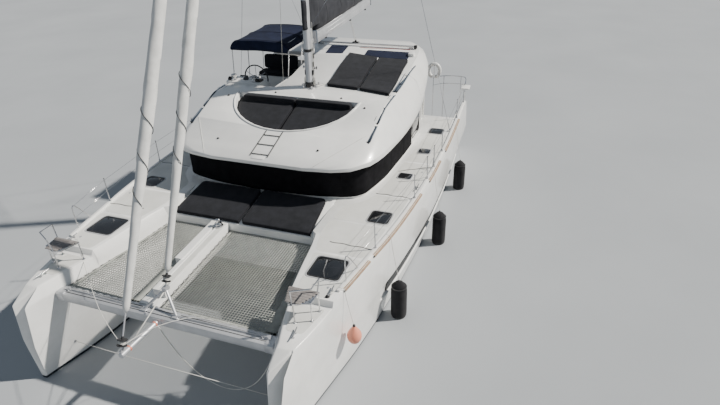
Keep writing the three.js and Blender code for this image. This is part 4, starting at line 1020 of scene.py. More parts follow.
def make_soft_goods():
    for name, _ in SIDES:
        cushion(f"fore_pad_{name}", 0.12)
        cushion(f"lounge_pad_{name}", 0.05)
        make_net(name)
    for name, _ in SIDES:
        cushion(f"roof_pad_{name}", 0.08)
    for roll in ROLLS:
        make_roll(*roll)
    make_window_cover()
    make_canopy()
    make_bag()
    make_fenders()


# Stage: the water, plain and pale, and soft studio light
SUN_FROM = Vector((-0.35, 0.75, 0.75))
plain("floor", (0.34, 0.36, 0.38), (0.38, 0.40, 0.42), 0.8, grain=0.2)


def make_stage():
    bpy.ops.mesh.primitive_plane_add(size=160, location=(0, 0, 0))
    floor = bpy.context.object
    floor.name = "floor"
    floor.data.materials.append(LOOKS["floor"])
    world = bpy.data.worlds.new("world")
    world.use_nodes = True
    sky = world.node_tree.nodes["Background"]
    sky.inputs["Color"].default_value = (0.72, 0.84, 1.0, 1)
    sky.inputs["Strength"].default_value = 0.30
    bpy.context.scene.world = world
    sun = bpy.data.lights.new("sun", "SUN")
    sun.energy, sun.angle, sun.color = 6.8, math.radians(1.5), (1.0, 0.955, 0.88)
    key = bpy.data.objects.new("sun", sun)
    key.rotation_euler = SUN_FROM.to_track_quat("Z", "Y").to_euler()
    bpy.context.scene.collection.objects.link(key)


# Hull and deck: each lid's place and size, the fixed lights', and where the stanchions stand
HATCHES = {"fore": (4.335, 2.735, 0.69, 0.69), "mid": (2.2, 3.15, 0.52, 0.50),
           "aft": (-3.165, 3.3, 0.43, 0.43)}
DECK_LIGHTS = {"fore": (0.05, 3.17, 0.30, 0.34), "aft": (-1.61, 3.29, 0.30, 0.32)}
POSTS_X = (3.44, 1.16, 0.08, -0.64, -1.68, -4.35, -5.9)
DECK_Z = 2.15


def grown(place, side, grow, radius):
    """The outline of a lid or light, moved outwards."""
    x, y, long, wide = place
    return rounded(x, side * y, long + 2 * grow, wide + 2 * grow, radius)


def make_hatches():
    for name, side in SIDES:
        for key, place in HATCHES.items():
            lid = f"hatch_{key}_{name}"
            glass = grown(place, side, -0.040, 0.055)
            Shape().plate(glass, 2.140, 2.1565).done(lid + "_glass", "glass", lid, (lid,), edge=0.004)
            rim = Shape().plate(grown(place, side, -0.004, 0.085), 2.124, 2.160, hole=glass)
            rim.done(lid + "_frame", "black", lid, edge=0.003)
            handles = Shape()
            x, y, long, wide = place
            for shift in (-0.28, 0.28):
                spot = (x - long * 0.36, side * y + wide * shift, DECK_Z)
                handles.lathe(spot, UP, [(0, 0.020), (0.012, 0.020), (0.015, 0.014)], 16)
            handles.done(lid + "_handles", "black", lid, edge=0.001)
            hole = grown(place, side, 0.0, 0.089)
            flange = Shape().plate(grown(place, side, 0.034, 0.12), 2.1505, 2.157, hole=hole)
            flange.done(lid + "_flange", "grey", edge=0.002)
        for key, place in DECK_LIGHTS.items():
            x, y, long, wide = place
            pane = soft_corners(box_corners(x, side * y, long, wide), 0.05)
            Shape().plate(pane, 2.151, 2.166).done(f"deck_light_{name}_{key}", "glass", edge=0.003)
            hole = grown(place, side, 0, 0.05)
            ring = Shape().plate(grown(place, side, 0.03, 0.07), 2.151, 2.163, hole=hole)
            ring.done(f"deck_light_frame_{name}_{key}", "alloy", edge=0.002)


# Non-slip patches of the port deck, and the last one, on the stem
NONSKID = {
    "bow": [(5.20, 2.42), (4.76, 2.36), (3.90, 2.24), (3.90, 3.30), (4.76, 3.18), (5.20, 3.10)],
    "fore": [(3.82, 2.24), (3.30, 2.12), (3.05, 2.08), (2.62, 2.10), (2.62, 3.44), (3.40, 3.36),
             (3.82, 3.31)],
    "mid": [(2.54, 2.12), (1.98, 2.16), (1.55, 2.60), (1.20, 2.72), (1.20, 3.58), (1.90, 3.54),
            (2.54, 3.46)],
    "waist": [(1.10, 2.74), (0.30, 2.84), (-0.78, 2.92), (-0.78, 3.69), (0.30, 3.66), (1.10, 3.60)],
    "aft": [(-0.86, 2.93), (-1.90, 3.02), (-2.92, 3.06), (-2.92, 3.69), (-1.90, 3.70), (-0.86, 3.70)],
    "quarter": [(-3.42, 3.02), (-4.25, 2.95), (-4.25, 3.62), (-3.42, 3.66)],
}
STEM_PATCH = [(6.05, 2.62), (5.38, 2.45), (5.36, 3.10), (6.05, 2.95)]
# The dark strip along each hull's side, in x and z: partly its windows, partly painted shade, drawn as one
# unbroken band
HULL_WINDOW_AND_SHADE = [(2.98, 0.662), (-4.90, 0.662), (-4.90, 0.955), (2.98, 0.955)]
# The stern steps: middle, height and depth of each tread
TREADS = ((-5.95, 1.10, 0.24), (-6.22, 0.76, 0.24), (-6.65, 0.42, 0.45))
TREAD_INNER, TREAD_OUTER = 2.55, 3.42


def make_nonskid():
    for name, side in SIDES:
        hull = (f"hull_{name}",)
        holes = [grown(place, side, 0.05, 0.12) for place in HATCHES.values()]
        holes += [rounded(x, side * y, 0.4, 0.44, 0.08) for x, y, *_ in DECK_LIGHTS.values()]
        for key, corners in NONSKID.items():
            outline = soft_corners([(x, side * y) for x, y in corners], 0.10)
            inner = [hole for hole in holes if all(inside(outline, *p) for p in hole)]
            draped(f"nonskid_{key}_{name}", outline, "nonskid", hull, inner, step=0.3)
        stem = soft_corners([(x, side * y) for x, y in STEM_PATCH], 0.08)
        draped(f"nonskid_stem_{name}", stem, "nonskid", hull, step=0.3)
        # one unbroken dark strip: the windows, with painted shade run on through the shadow along them
        window = soft_corners(HULL_WINDOW_AND_SHADE, 0.10)
        draped(f"hull_window_and_shade_{name}", window, "window", hull, step=0.13, side=side, lift=0.022)
        for tread, (x, z, long) in enumerate(TREADS):
            fore, aft = x + long / 2, x - long / 2
            mat = soft_corners([(fore, side * TREAD_INNER), (aft, side * TREAD_INNER),
                                (aft, side * TREAD_OUTER), (fore, side * TREAD_OUTER)], 0.05)
            draped(f"stern_tread_{tread}_{name}", mat, "teak", hull, step=0.3, start=z + 0.3)


CLEAT_LONG, CLEATS_X, BOW_CLEAT = 0.30, (5.02, 0.62, -4.9), (6.12, 2.83)
RAIL_IN, WIRE_IN = 0.07, 0.08
POST_FOOT = ((0, 0.034), (0.008, 0.034), (0.014, 0.022), (0.06, 0.018))
POST_CAP = ((0, 0.013), (0.006, 0.016), (0.014, 0.012), (0.018, 0.004))


def add_cleat(shape, x, y, z, turn=0.0):
    """A two-horned cleat on its base."""
    way, middle = Vector((math.cos(turn), math.sin(turn), 0)), Vector((x, y, z))
    places = ((-CLEAT_LONG / 2, 0.062), (-0.07, 0.052), (0.07, 0.052), (CLEAT_LONG / 2, 0.062))
    horns = [middle + way * along + UP * high for along, high in places]
    shape.tube(horns, lambda t: 0.014 - 0.018 * (t - 0.5) ** 2, 10, 3)
    for end in (-0.055, 0.055):
        shape.lathe(middle + way * end, UP, [(0, 0.026), (0.01, 0.022), (0.03, 0.014), (0.055, 0.014)], 12)


def add_cleats(metal, side):
    for x in CLEATS_X:
        add_cleat(metal, x, side * (abs(edge_y(x, side)) - 0.17), DECK_Z + 0.002)
    x, y = BOW_CLEAT
    add_cleat(metal, x, side * y, deck_z(x, side * y), 0.1 * side)


def add_posts(metal, dark, side):
    """The stanchions' feet and caps."""
    for x in POSTS_X:
        y = edge_y(x, side) - side * RAIL_IN
        metal.lathe((x, y, DECK_Z + 0.045), UP, POST_FOOT, 16)
        dark.lathe((x, y - side * 0.010, DECK_Z + 0.655), UP, POST_CAP, 12)


STRIPS = ((4.85, 3.84), (3.64, 0.82), (0.09, -1.17), (-1.86, -4.42))
STRIP_SECTION = ((-0.006, 2.088), (0.022, 2.094), (0.030, 2.112), (0.026, 2.136), (-0.010, 2.1515),
                 (-0.034, 2.1535), (-0.034, 2.10))


def add_rub_strips(strip, dark, side):
    for x0, x1 in STRIPS:
        count = max(2, round((x0 - x1) / 0.25))
        rings = []
        for x in evenly(x0, x1, count):
            y = edge_y(x, side, 2.118)
            rings.append([(x, y + side * out, z) for out, z in STRIP_SECTION])
        strip.skin(rings)
        spot = (x0 + 0.02, edge_y(x0, side) - side * 0.005, 2.125)
        dark.lathe(spot, (0, side, 0), [(0, 0.024), (0.02, 0.024), (0.03, 0.012)], 12)


def add_lifelines(wires, metal, side):
    """The wires along the stanchions, the gate's braces and the hoop ahead."""
    def along_rail(x, height, far=RAIL_IN):
        return (x, edge_y(x, side) - side * far, DECK_Z + height)

    for height in (0.62, 0.33):
        ends = [along_rail(4.62, height * 0.94), *(along_rail(x, height, WIRE_IN) for x in POSTS_X)]
        wires.tube(ends, 0.0035, 6)
    for x in (0.08, -0.64):
        top = along_rail(x, 0.33, WIRE_IN)
        metal.tube([top, (x - math.copysign(0.17, x + 0.3), top[1], DECK_Z + 0.06)], 0.009, 12)
    metal.tube([along_rail(4.66, 0.04), along_rail(4.63, 0.60), along_rail(4.2, 0.045)], 0.011, 12, 5)


DECK_LINES = (((3.45, 2.42), (3.47, 3.40)), ((1.14, 2.72), (1.14, 3.63)), ((-0.18, 2.92), (-0.66, 3.70)))
FILLERS_X = (4.9, 2.9, -0.3)
# The push pit's rail round the stern quarter; its first point follows the hull's edge
PUSH_PIT = ((-6.35, 3.63, 2.80), (-6.80, 3.52, 2.80), (-6.88, 3.2, 2.80), (-6.86, 2.75, 2.78),
            (-6.64, 2.42, 2.76))
PUSH_PIT_POSTS = ((-6.35, 3.63, 0.30), (-6.86, 3.38, 0.40), (-6.86, 2.76, 0.40), (-6.64, 2.42, 0.40))
PUSH_PIT_TOP, MIDDLE_RAIL_DROP = 2.79, 0.28


def add_deck_lines(dark, white, side):
    """The lines that run out across the deck, a deck eye and the tank fillers."""
    for (ax, ay), (bx, by) in DECK_LINES:
        points = []
        for k in range(9):
            x = ax + (bx - ax) * k / 8 + 0.012 * math.sin(k * 1.9)
            points.append((x, side * (ay + (by - ay) * k / 8), DECK_Z + 0.009))
        dark.tube(points, ROPE, 6, 3)
    x, y = 5.15, side * 3.06
    dark.lathe((x, y, deck_z(x, y)), UP, [(0, 0.045), (0.012, 0.045), (0.02, 0.03)], 16)
    for x in FILLERS_X:
        spot = (x, side * (abs(edge_y(x, side)) - 0.30), DECK_Z)
        white.lathe(spot, UP, [(0, 0.032), (0.006, 0.032), (0.010, 0.02)], 14)


def add_push_pit(metal, side):
    rail = [(-5.9, edge_y(-5.9, side) - side * WIRE_IN, 2.78), *((x, side * y, z) for x, y, z in PUSH_PIT)]
    metal.tube(rail, 0.014, 12, 6)
    metal.tube([(x, y, z - MIDDLE_RAIL_DROP) for x, y, z in rail], ROD, 12, 6)
    for x, y, lowest in PUSH_PIT_POSTS:
        foot = max(lowest, deck_z(x, side * y) - 0.002)
        metal.tube([(x, side * y, foot), (x, side * y, PUSH_PIT_TOP)], 0.013, 12)


def make_fittings():
    metal, dark, strip, wires, white = (Shape() for _ in range(5))
    for _, side in SIDES:
        add_cleats(metal, side)
        add_posts(metal, dark, side)
        add_rub_strips(strip, dark, side)
        add_lifelines(wires, metal, side)
        add_deck_lines(dark, white, side)
        add_push_pit(metal, side)
    strip.done("rub_strips", "tan", edge=0.002)
    metal.done("deck_fittings", "steel", edge=0.001)
    dark.done("deck_lines", "black")
    wires.done("lifelines", "steel")
    white.done("deck_fillers", "alloy", edge=0.001)
    seat = soft_corners([(-5.55, 3.60), (-5.98, 3.58), (-5.98, 3.86), (-5.55, 3.88)], 0.06)
    Shape().plate(seat, 2.76, 2.80).done("quarter_seat", "white", edge=0.012)
    # the horseshoe buoy in its cover, on a bracket at the port push pit
    turns = [(-0.42 + 1.84 * k / 14) * math.pi for k in range(15)]
    ring = [(-6.62, 2.44 + 0.20 * math.cos(t), 3.02 + 0.24 * math.sin(t)) for t in turns]
    Shape().tube(ring, 0.065, 16, 2).done("horseshoe_buoy", "white")
    bracket = Shape().tube([(-6.64, 2.42, 2.74), (-6.60, 2.44, 2.95), (-6.57, 2.44, 3.27)], 0.012, 12, 4)
    bracket.done("buoy_bracket", "steel")


PULPIT_Y, PULPIT_FEET = 2.73, ((5.42, 2.44), (5.42, 3.01), (5.83, 2.70), (5.70, 2.98))


def make_pulpits():
    for name, side in SIDES:
        slats, middle = Shape(), side * PULPIT_Y
        for k in range(6):
            x = 5.415 + 0.068 * k
            slats.box((x, middle - 0.29 + 0.02 * k, 2.4525), (x + 0.065, middle + 0.29 - 0.035 * k, 2.466))
        slats.done(f"pulpit_slats_{name}", "oiled", edge=0.003)
        caps = Shape()
        for x, y in PULPIT_FEET:
            spot = (x, side * y, deck_z(x, side * y))
            caps.lathe(spot, UP, [(0, 0.036), (0.007, 0.036), (0.013, 0.022), (0.04, 0.018)], 16)
        caps.done(f"pulpit_feet_{name}", "steel", edge=0.001)


# Crossbeam, bowsprit, longeron and windlass
BEAM_AFT, BEAM_WIDE, BEAM_LOW, BEAM_TALL = 5.996, 0.278, 1.576, 0.209
BEAM_END = ((0, 0), (1, 0), (1, 0.86), (0.86, 1), (0.14, 1), (0, 0.86))
FURLING_LINES = (
    ((7.13, 0.06, 1.93), (6.6, 0.20, 1.86), (6.11, 0.62, 1.80), (6.02, 1.10, 1.785)),
    ((7.13, -0.06, 1.93), (6.5, -1.1, 1.93), (5.30, -2.62, 2.03), (4.98, -2.98, 2.21)),
    ((5.80, -0.06, 2.31), (5.6, -0.16, 2.04), (5.2, -0.22, 1.965), (3.5, -0.30, 1.962)),
)
SPRIT_EYE = ((7.19, 0, 1.79), (7.17, 0.035, 1.83), (7.16, 0, 1.88), (7.17, -0.035, 1.83), (7.19, 0, 1.79))
WINDLASS_AT = (3.33, -0.45, 1.95)
WINDLASS = ((0, 0.11), (0.018, 0.11), (0.024, 0.07), (0.05, 0.062), (0.055, 0.085), (0.07, 0.088),
            (0.078, 0.06), (0.095, 0.05), (0.13, 0.045), (0.165, 0.05), (0.175, 0.062), (0.185, 0.055),
            (0.19, 0.02))
GUY_PLATE = ((0, 0.018), (0.02, 0.03), (0.032, 0.03))
MARK = ((0, 0.056), (0.002, 0.0585), (0.032, 0.0585), (0.034, 0.056))
WALKWAY = [(3.24, -0.33), (5.66, -0.21), (5.66, -0.345), (3.24, -0.465)]
CHAIN_LINKS, LINK_PITCH, LINK_LONG, LINK_WIDE, LINK_THICK = 46, 0.028, 0.019, 0.012, 0.008


def add_beam_side(ends, steel, lacing, lines, side):
    """One end of the crossbeam: its plate, hoop and lacing, and the guy from the sprit to the bow."""
    section = [(BEAM_AFT + BEAM_WIDE * u, BEAM_LOW + BEAM_TALL * v) for u, v in BEAM_END]
    ends.skin([[(x, side * y, z) for x, z in section] for y in (2.28, 2.46)])
    hoop = ((2.30, 1.775), (2.30, 1.81), (2.18, 1.81), (2.18, 1.775))
    steel.tube([(6.135, side * y, z) for y, z in hoop], ROD, 12, 3)
    beam, net = ([(x, side * y, z) for y in (0.30, 2.25)] for x, z in ((6.02, 1.774), (5.985, 1.756)))
    lacing.tube(zigzag(beam, net, LACING_PITCH), THIN_ROPE, 6)
    inner = land((f"hull_{side_name(side)}",), (6.25, 0, 0.42), (0, side, 0))
    lines.tube([(7.19, side * 0.03, 1.70), inner - Vector((0, side * 0.012, 0))], ROPE, 8)
    steel.lathe(inner - Vector((0, side * 0.03, 0)), (0, side, 0), GUY_PLATE, 16)


def make_chain():
    """The anchor chain in the longeron's groove."""
    chain = Shape()
    for k in range(CHAIN_LINKS):
        x = 3.42 + LINK_PITCH * k
        wide = Vector((0, 1, 0)) if k % 2 else UP
        middle = (x, -0.54 + 0.0493 * (x - 3.16), 1.885)
        chain.tube(circle(middle, (LINK_LONG, 0, 0), wide * LINK_WIDE, 10), LINK_THICK / 2, 6)
    chain.done("anchor_chain", "steel")


def make_bows():
    grooves, lacing, red, steel, ends, lines = (Shape() for _ in range(6))
    for x in (6.075, 6.185):
        grooves.tube([(x, -2.36, 1.772), (x, 2.36, 1.772)], 0.007, 12)
    for _, side in SIDES:
        add_beam_side(ends, steel, lacing, lines, side)
    for x in (6.33, 7.02):
        red.lathe((x, 0, 1.67 + 0.06 * (x - 6.27)), (1, 0, 0.06), MARK, 28)
    lines.tube([(5.86, 0, 2.13), (6.97, 0, 1.765)], 0.010, 12)
    for line in FURLING_LINES:
        lines.tube(line, ROPE, 8, 5)
    grooves.done("beam_grooves", "black")
    ends.done("beam_ends", "alloy", edge=0.01)
    lacing.done("beam_lacing", "rope")
    red.done("sprit_marks", "orange", edge=0.001)
    lines.done("sprit_guys", "rope")
    steel.tube(SPRIT_EYE, 0.008, 12, 4)
    steel.lathe(WINDLASS_AT, UP, WINDLASS, 32)
    steel.done("bow_metal", "steel", edge=0.001)
    make_chain()
    draped("longeron_walkway", WALKWAY, "nonskid", ("longeron",), step=0.4)
    make_bridle()


BRIDLE = ((6.35, 0.075, 1.665), (6.25, 1.23, 0.30), (6.28, 2.472, 1.66))
BRIDLE_THICK, BRIDLE_STEPS, BRIDLE_BOW = 0.016, 32, 0.05


def make_bridle():
    """The slack bridle under the crossbeam: a catenary between the sprit's root and the port bow."""
    a, low, b = (Vector(p) for p in BRIDLE)
    drop, half = (a.z + b.z) / 2 - low.z, (b.y - a.y) / 2
    steep = 0.1
    while half / steep * (math.cosh(steep) - 1) < drop:
        steep += 0.001
    middle, points = (a.y + b.y) / 2, []
    for k in range(BRIDLE_STEPS + 1):
        share = k / BRIDLE_STEPS
        y = a.y + (b.y - a.y) * share
        sag = half / steep * (math.cosh(steep * (y - middle) / half) - 1)
        x = a.x + (b.x - a.x) * share - BRIDLE_BOW * math.sin(math.pi * share)
        points.append(Vector((x, y, low.z + sag + (a.z - b.z) / 2 * (middle - y) / half)))
    piece = Shape().tube(points, BRIDLE_THICK / 2, 12).done("slack_bridle", "rope")


def make_deck():
    make_hatches()
    make_nonskid()
    make_fittings()
    make_pulpits()
    make_bows()


# Rig: the mast's place at a height and its lean, half of its section, spreaders, hounds and shrouds
MAST_X, MAST_FOOT, MAST_LEAN = -1.34, 3.88, 0.0175
MAST_HALF = ((0.172, 0), (0.150, 0.055), (0.100, 0.090), (0.020, 0.104), (-0.080, 0.098),
             (-0.150, 0.066), (-0.172, 0))
SPREADERS, HOUNDS, SHROUD_X, SHROUD_Y, SHROUD_Z = (8.7, 13.2), 17.3, -3.3, 3.69, 2.17
MAST_WINCH = ((0, 0.05), (0.012, 0.05), (0.016, 0.038), (0.05, 0.032), (0.085, 0.038),
              (0.095, 0.05), (0.10, 0.046), (0.105, 0.02))
DECK_BLOCK = ((0, 0.03), (0.01, 0.03), (0.012, 0.012), (0.04, 0.012), (0.042, 0.026),
              (0.06, 0.026), (0.062, 0.01))
TURNBUCKLE = ((0.03, 0.010), (0.06, 0.016), (0.24, 0.016), (0.26, 0.011), (0.42, 0.011), (0.44, 0.0088))


def mast_x(z):
    return MAST_X - MAST_LEAN * (z - MAST_FOOT)


def mast_ring(z, grow):
    """The mast's section at a height, moved outwards."""
    loop = list(MAST_HALF) + [(dx, -y) for dx, y in reversed(MAST_HALF[1:-1])]
    loop = curved([(dx, y, 0) for dx, y in inset(loop, -grow)], 3, closed=True)
    return [Vector((mast_x(z) + p.x, p.y, z)) for p in loop]


def add_mast_side(black, ropes, steel, side):
    """Clutches with their halyards, a winch, and the halyards led aft over the roof."""
    for k, z in enumerate((4.30, 4.52, 4.74)):
        x = mast_x(z) + 0.05 - 0.05 * k
        black.box((x - 0.02, side * 0.095, z - 0.07), (x + 0.03, side * 0.128, z + 0.07))
        ropes.tube([(x, side * 0.122, z + 0.9), (x, side * 0.122, z), (x + 0.05, side * 0.13, 4.02),
                    (x + 0.02, side * (0.17 + 0.02 * k), 3.945)], ROPE, 8, 4)
    steel.lathe((mast_x(4.4) - 0.02, side * 0.10, 4.42), (0, side, 0), MAST_WINCH, 24)
    for k in range(3):
        y = side * (0.20 + 0.035 * k)
        ropes.tube([(mast_x(3.9) + 0.06, y if side < 0 else y - 0.02, 3.94), (-1.45, y, 3.905),
                    (-1.62, side * (0.30 + 0.03 * k), 3.90)], ROPE, 8, 4)


def add_stays(black, steel, side):
    """The spreaders' tips with the diagonals below them, and the shroud's turnbuckle."""
    for z in SPREADERS:
        share = (HOUNDS - z) / (HOUNDS - DECK_Z)
        x, y = mast_x(HOUNDS) + (SHROUD_X - mast_x(HOUNDS)) * share, 0.14 + 3.55 * share
        tip = (x + 0.01, side * (y - 0.05), z + 0.02)
        black.lathe(tip, (0, side, 0), [(0, 0.03), (0.05, 0.03), (0.065, 0.014)], 14)
        steel.tube([(x + 0.01, side * (y - 0.06), z), (mast_x(z - 3.2), side * 0.085, z - 3.2)], 0.004, 6)
    foot = Vector((SHROUD_X, side * SHROUD_Y, SHROUD_Z))
    steel.lathe(foot, Vector((mast_x(HOUNDS), side * 0.12, HOUNDS)) - foot, TURNBUCKLE, 12)


def make_mast_gear():
    alloy, black, ropes, steel = (Shape() for _ in range(4))
    for collar in (((3.905, 0.006), (3.92, 0.022), (4.02, 0.016), (4.05, 0.006)),
                   ((4.88, 0.003), (4.885, 0.009), (4.955, 0.009), (4.96, 0.003))):
        black.skin([mast_ring(z, grow) for z, grow in collar])
    black.box((mast_x(7) - 0.19, -0.012, 5.45), (mast_x(7) - 0.165, 0.012, 6.2))
    for _, side in SIDES:
        add_mast_side(black, ropes, steel, side)
    for x, y in ((-1.12, 0.12), (-1.30, 0.19), (-1.5, 0.17)):
        for side in (1, -1):
            steel.lathe((x, side * y, 3.902), UP, DECK_BLOCK, 16)
    # coils of halyard hung on both sides of the mast
    for z, y in ((4.18, 0.15), (4.14, -0.15)):
        for turn in range(4):
            middle = (mast_x(z) + 0.02 + 0.012 * turn, y + 0.008 * (turn - 2), z - 0.09)
            ropes.tube(circle(middle, (0, 0, 0.09), (0.035, 0, 0), 14), THIN_ROPE, 6)
    # masthead: crane and light; then the bands at spreaders and hounds, and the furlers' tangs
    top = mast_x(20.0)
    alloy.box((top - 0.20, -0.035, 19.93), (top + 0.22, 0.035, 19.985))
    black.lathe((top + 0.03, 0, 19.985), UP, [(0, 0.022), (0.004, 0.022), (0.01, 0.018), (0.012, 0.01)], 14)
    for z in (*SPREADERS, HOUNDS):
        band = ((-0.07, 0.001), (-0.065, 0.006), (0.065, 0.006), (0.07, 0.001))
        alloy.skin([mast_ring(z + dz, grow) for dz, grow in band])
    for z in (16.62, 17.76):
        steel.tube([(mast_x(z) + 0.10, 0, z + 0.03), (mast_x(z) + 0.20, 0, z - 0.02)], 0.014, 12)
    for _, side in SIDES:
        add_stays(black, steel, side)
    # a halyard from the roof to the hounds
    ropes.tube([(-1.5, -0.955, 3.885), (mast_x(17.1) + 0.04, -0.10, 17.1)], ROPE, 6)
    alloy.done("mast_bands", "alloy", edge=0.002)
    black.done("mast_black_gear", "black", edge=0.002)
    ropes.done("mast_ropes", "rope")
    steel.done("mast_steel_gear", "steel", edge=0)


# Boom gear: the caps at both ends, each with its half width and its sections (place, size)
BOOM_CAPS = ((0.075, ((-6.60, 1.06), (-6.645, 1.06), (-6.649, 0.96))),
             (0.097, ((-1.729, 0.98), (-1.735, 1.05), (-1.80, 1.05), (-1.805, 0.98))))
BOOM_HALF = 0.165
BOOM_BLOCK = ((0, 0.03), (0.012, 0.03), (0.02, 0.014), (0.05, 0.012), (0.052, 0.035),
              (0.09, 0.035), (0.092, 0.01))
SHEET_FALLS = ((0.02, 0.03), (-0.02, 0.01), (0.015, -0.02), (-0.015, -0.035))
SHEET_FOOT = Vector((-4.90, 0.10, 4.33))
JACKS_TOP = 11.0


def on_boom_low(x):
    return on_boom(x, BOOM_LOW)


def make_boom_gear():
    ends, black, track = Shape(), Shape(), Shape()
    for half, sections in BOOM_CAPS:
        corners = box_corners(0, 0, 2 * half, 2 * BOOM_HALF)
        rings = [[(x, y * k, on_boom_low(x) + BOOM_HALF + z * k) for y, z in corners] for x, k in sections]
        ends.skin(rings)
    for side in (1, -1):
        for z in (0.10, 0.22):
            places = ((-1.85, 0.0955), (-6.55, 0.072))
            track.tube([(x, side * y, on_boom_low(x) + z) for x, y in places], 0.007, 12)
        places = ((-1.9, 0.10), (-6.5, 0.078))
        track.tube([(x, side * y, on_boom_low(x) + 0.315) for x, y in places], 0.012, 12)
    for x in (-2.6, -4.7, -6.2):
        black.lathe((x, 0, on_boom_low(x)), -UP, BOOM_BLOCK, 16)
    ends.done("boom_ends", "slate", "boom", edge=0.004)
    track.done("boom_tracks", "alloy", "boom")
    black.done("boom_blocks", "black", "boom", edge=0.002)


def make_mainsheet():
    """The sheet's falls from the traveller's car up to the boom."""
    sheet = Shape()
    foot, head = SHEET_FOOT, Vector((-4.72, 0, on_boom_low(-4.72) - 0.07))
    for dx, dy in SHEET_FALLS:
        low, high = foot + Vector((dx, dy, 0)), head + Vector((dx * 0.6, dy * 0.6, 0))
        sheet.tube(evenly(low, high, 10), ROPE, 6)
    piece = sheet.done("mainsheet", "rope", None)
    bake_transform(piece)


def make_jacks():
    """The lazy jacks, from the mast over a knot on each side down to the bag."""
    jacks = Shape()
    for side in (1, -1):
        top = Vector((mast_x(JACKS_TOP) - 0.12, side * 0.10, JACKS_TOP))
        knot = top.lerp(Vector((-4.1, side * 0.20, 6.0)), 0.5)
        for x, high, half in JACKS:
            tie = Vector((x, side * half * 0.66, on_boom(x, BOOM_HIGH) + high * 0.78))
            jacks.tube(evenly(knot, tie, 8), CORD, 6)
        jacks.tube(evenly(top, knot, 8), CORD, 6)
    piece = jacks.done("lazy_jacks", "rope", None)
    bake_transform(piece)


SLEEVE_LOW, SLEEVE_STEP, SLEEVE_ROWS, SLEEVE_ROUND = 5.47, 0.075, 10, 0.55


def sleeve_point(r, t):
    """A point of the sleeve: row r, and t from -1 to 1 round the mast's front."""
    z, far = SLEEVE_LOW + SLEEVE_STEP * r, abs(t)
    if far > SLEEVE_ROUND:
        straight = (far - SLEEVE_ROUND) / (1 - SLEEVE_ROUND)
        x, y = -1.52 - 0.36 * straight, 0.122 + 0.028 * straight
    else:
        angle = t / SLEEVE_ROUND * math.pi / 2
        across = abs(math.sin(angle))
        x, y = -1.36 + 0.235 * math.cos(angle) - 0.16 * across ** 2, 0.122 * across
    fold = 0.010 * noise.noise(Vector((t * 3, z * 3, 0)))
    hem = (0.06 if r == 0 else 0) + 0.02 * r / SLEEVE_ROWS
    x += 0.02 + fold - MAST_LEAN * (z - MAST_FOOT)
    return Vector((x, math.copysign(y, t) + fold * t, z + hem * far))


def make_sleeve():
    """The cloth that carries the sail bag round the mast."""
    rows = [[sleeve_point(r, t) for t in evenly(-1, 1, 24)] for r in range(SLEEVE_ROWS + 1)]
    sleeve = thickened("mast_sleeve", rows, 0.004, "bag", None)
    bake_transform(sleeve)


def make_rig():
    make_mast_gear()
    make_boom_gear()
    make_mainsheet()
    make_jacks()
    make_sleeve()


# Roof: rungs, handrails as (side, start, end), eyes, traveller
RUNGS_X, RUNG_HALF = (1.86, 1.52, 1.18), 0.23
HANDRAILS = ((1, 0.98, 0.41), (1, 0.30, -1.20), (1, -1.45, -3.46), (-1, 0.98, 0.41), (-1, 0.30, -0.85))
# How far inboard of each handrail the painted shadow's dark tube lies, and how far it drops for each metre
# inboard
HANDRAIL_SHADOW_GAP, HANDRAIL_SHADOW_FALL = 0.13, 0.15
GRIP_FOOT = ((0, 0.035), (0.006, 0.035), (0.012, 0.016), (0.05, 0.014))
ROOF_EYES = ((1.49, 1.38), (1.49, -1.38), (-0.20, 2.0), (-0.20, -2.0), (-0.62, 1.2), (-0.62, -0.75))
EYE = ((0, 0.035), (0.008, 0.035), (0.016, 0.022), (0.03, 0.016), (0.034, 0.008))
CAR = Vector((-4.90, 0.10, 4.29))
SHEAVE = ((0, 0.02), (0.004, 0.032), (0.02, 0.034), (0.04, 0.034), (0.056, 0.032), (0.06, 0.02))
TRACK_Z, CAR_LINE_Z = 4.262, 4.30
# A small hood on the aft roof: two sections, as places with their height over the roof
HOOD = (((-4.10, 2.10, 0.0), (-4.10, 2.30, 0.0), (-4.10, 2.28, 0.09), (-4.10, 2.12, 0.09)),
        ((-4.32, 2.08, 0.0), (-4.32, 2.28, 0.0), (-4.32, 2.26, 0.11), (-4.32, 2.10, 0.11)))
ROOF_COVERS = {
    "solar_cover": [(-3.96, -0.62), (-4.78, -0.72), (-4.80, -0.12), (-4.02, -0.05)],
    "aft_cover": [(-3.86, 0.72), (-4.50, 0.66), (-4.50, 2.12), (-3.84, 2.16)],
}
LOUNGE_X, LOUNGE_LONG, LOUNGE_HALF = -0.45, 1.38, 1.76


def add_rungs(dark, white):
    """Climbing strips, rungs and a white tread up the slope ahead of the lounge."""
    for side in (1, -1):
        line = [on_roof(1.93 - 0.115 * k, side * (0.235 - 0.001 * k), 0.012) for k in range(9)]
        dark.tube(line, 0.012, 12)
    for x in RUNGS_X:
        dark.tube([on_roof(x, y, 0.016) for y in (-RUNG_HALF, 0, RUNG_HALF)], ROD, 12)
    low, high = (lambda x, y, lift=lift: on_roof(x, y, lift).z for lift in (0.001, 0.012))
    white.plate(rounded(1.96, 0, 0.12, 0.34, 0.03), low, high)


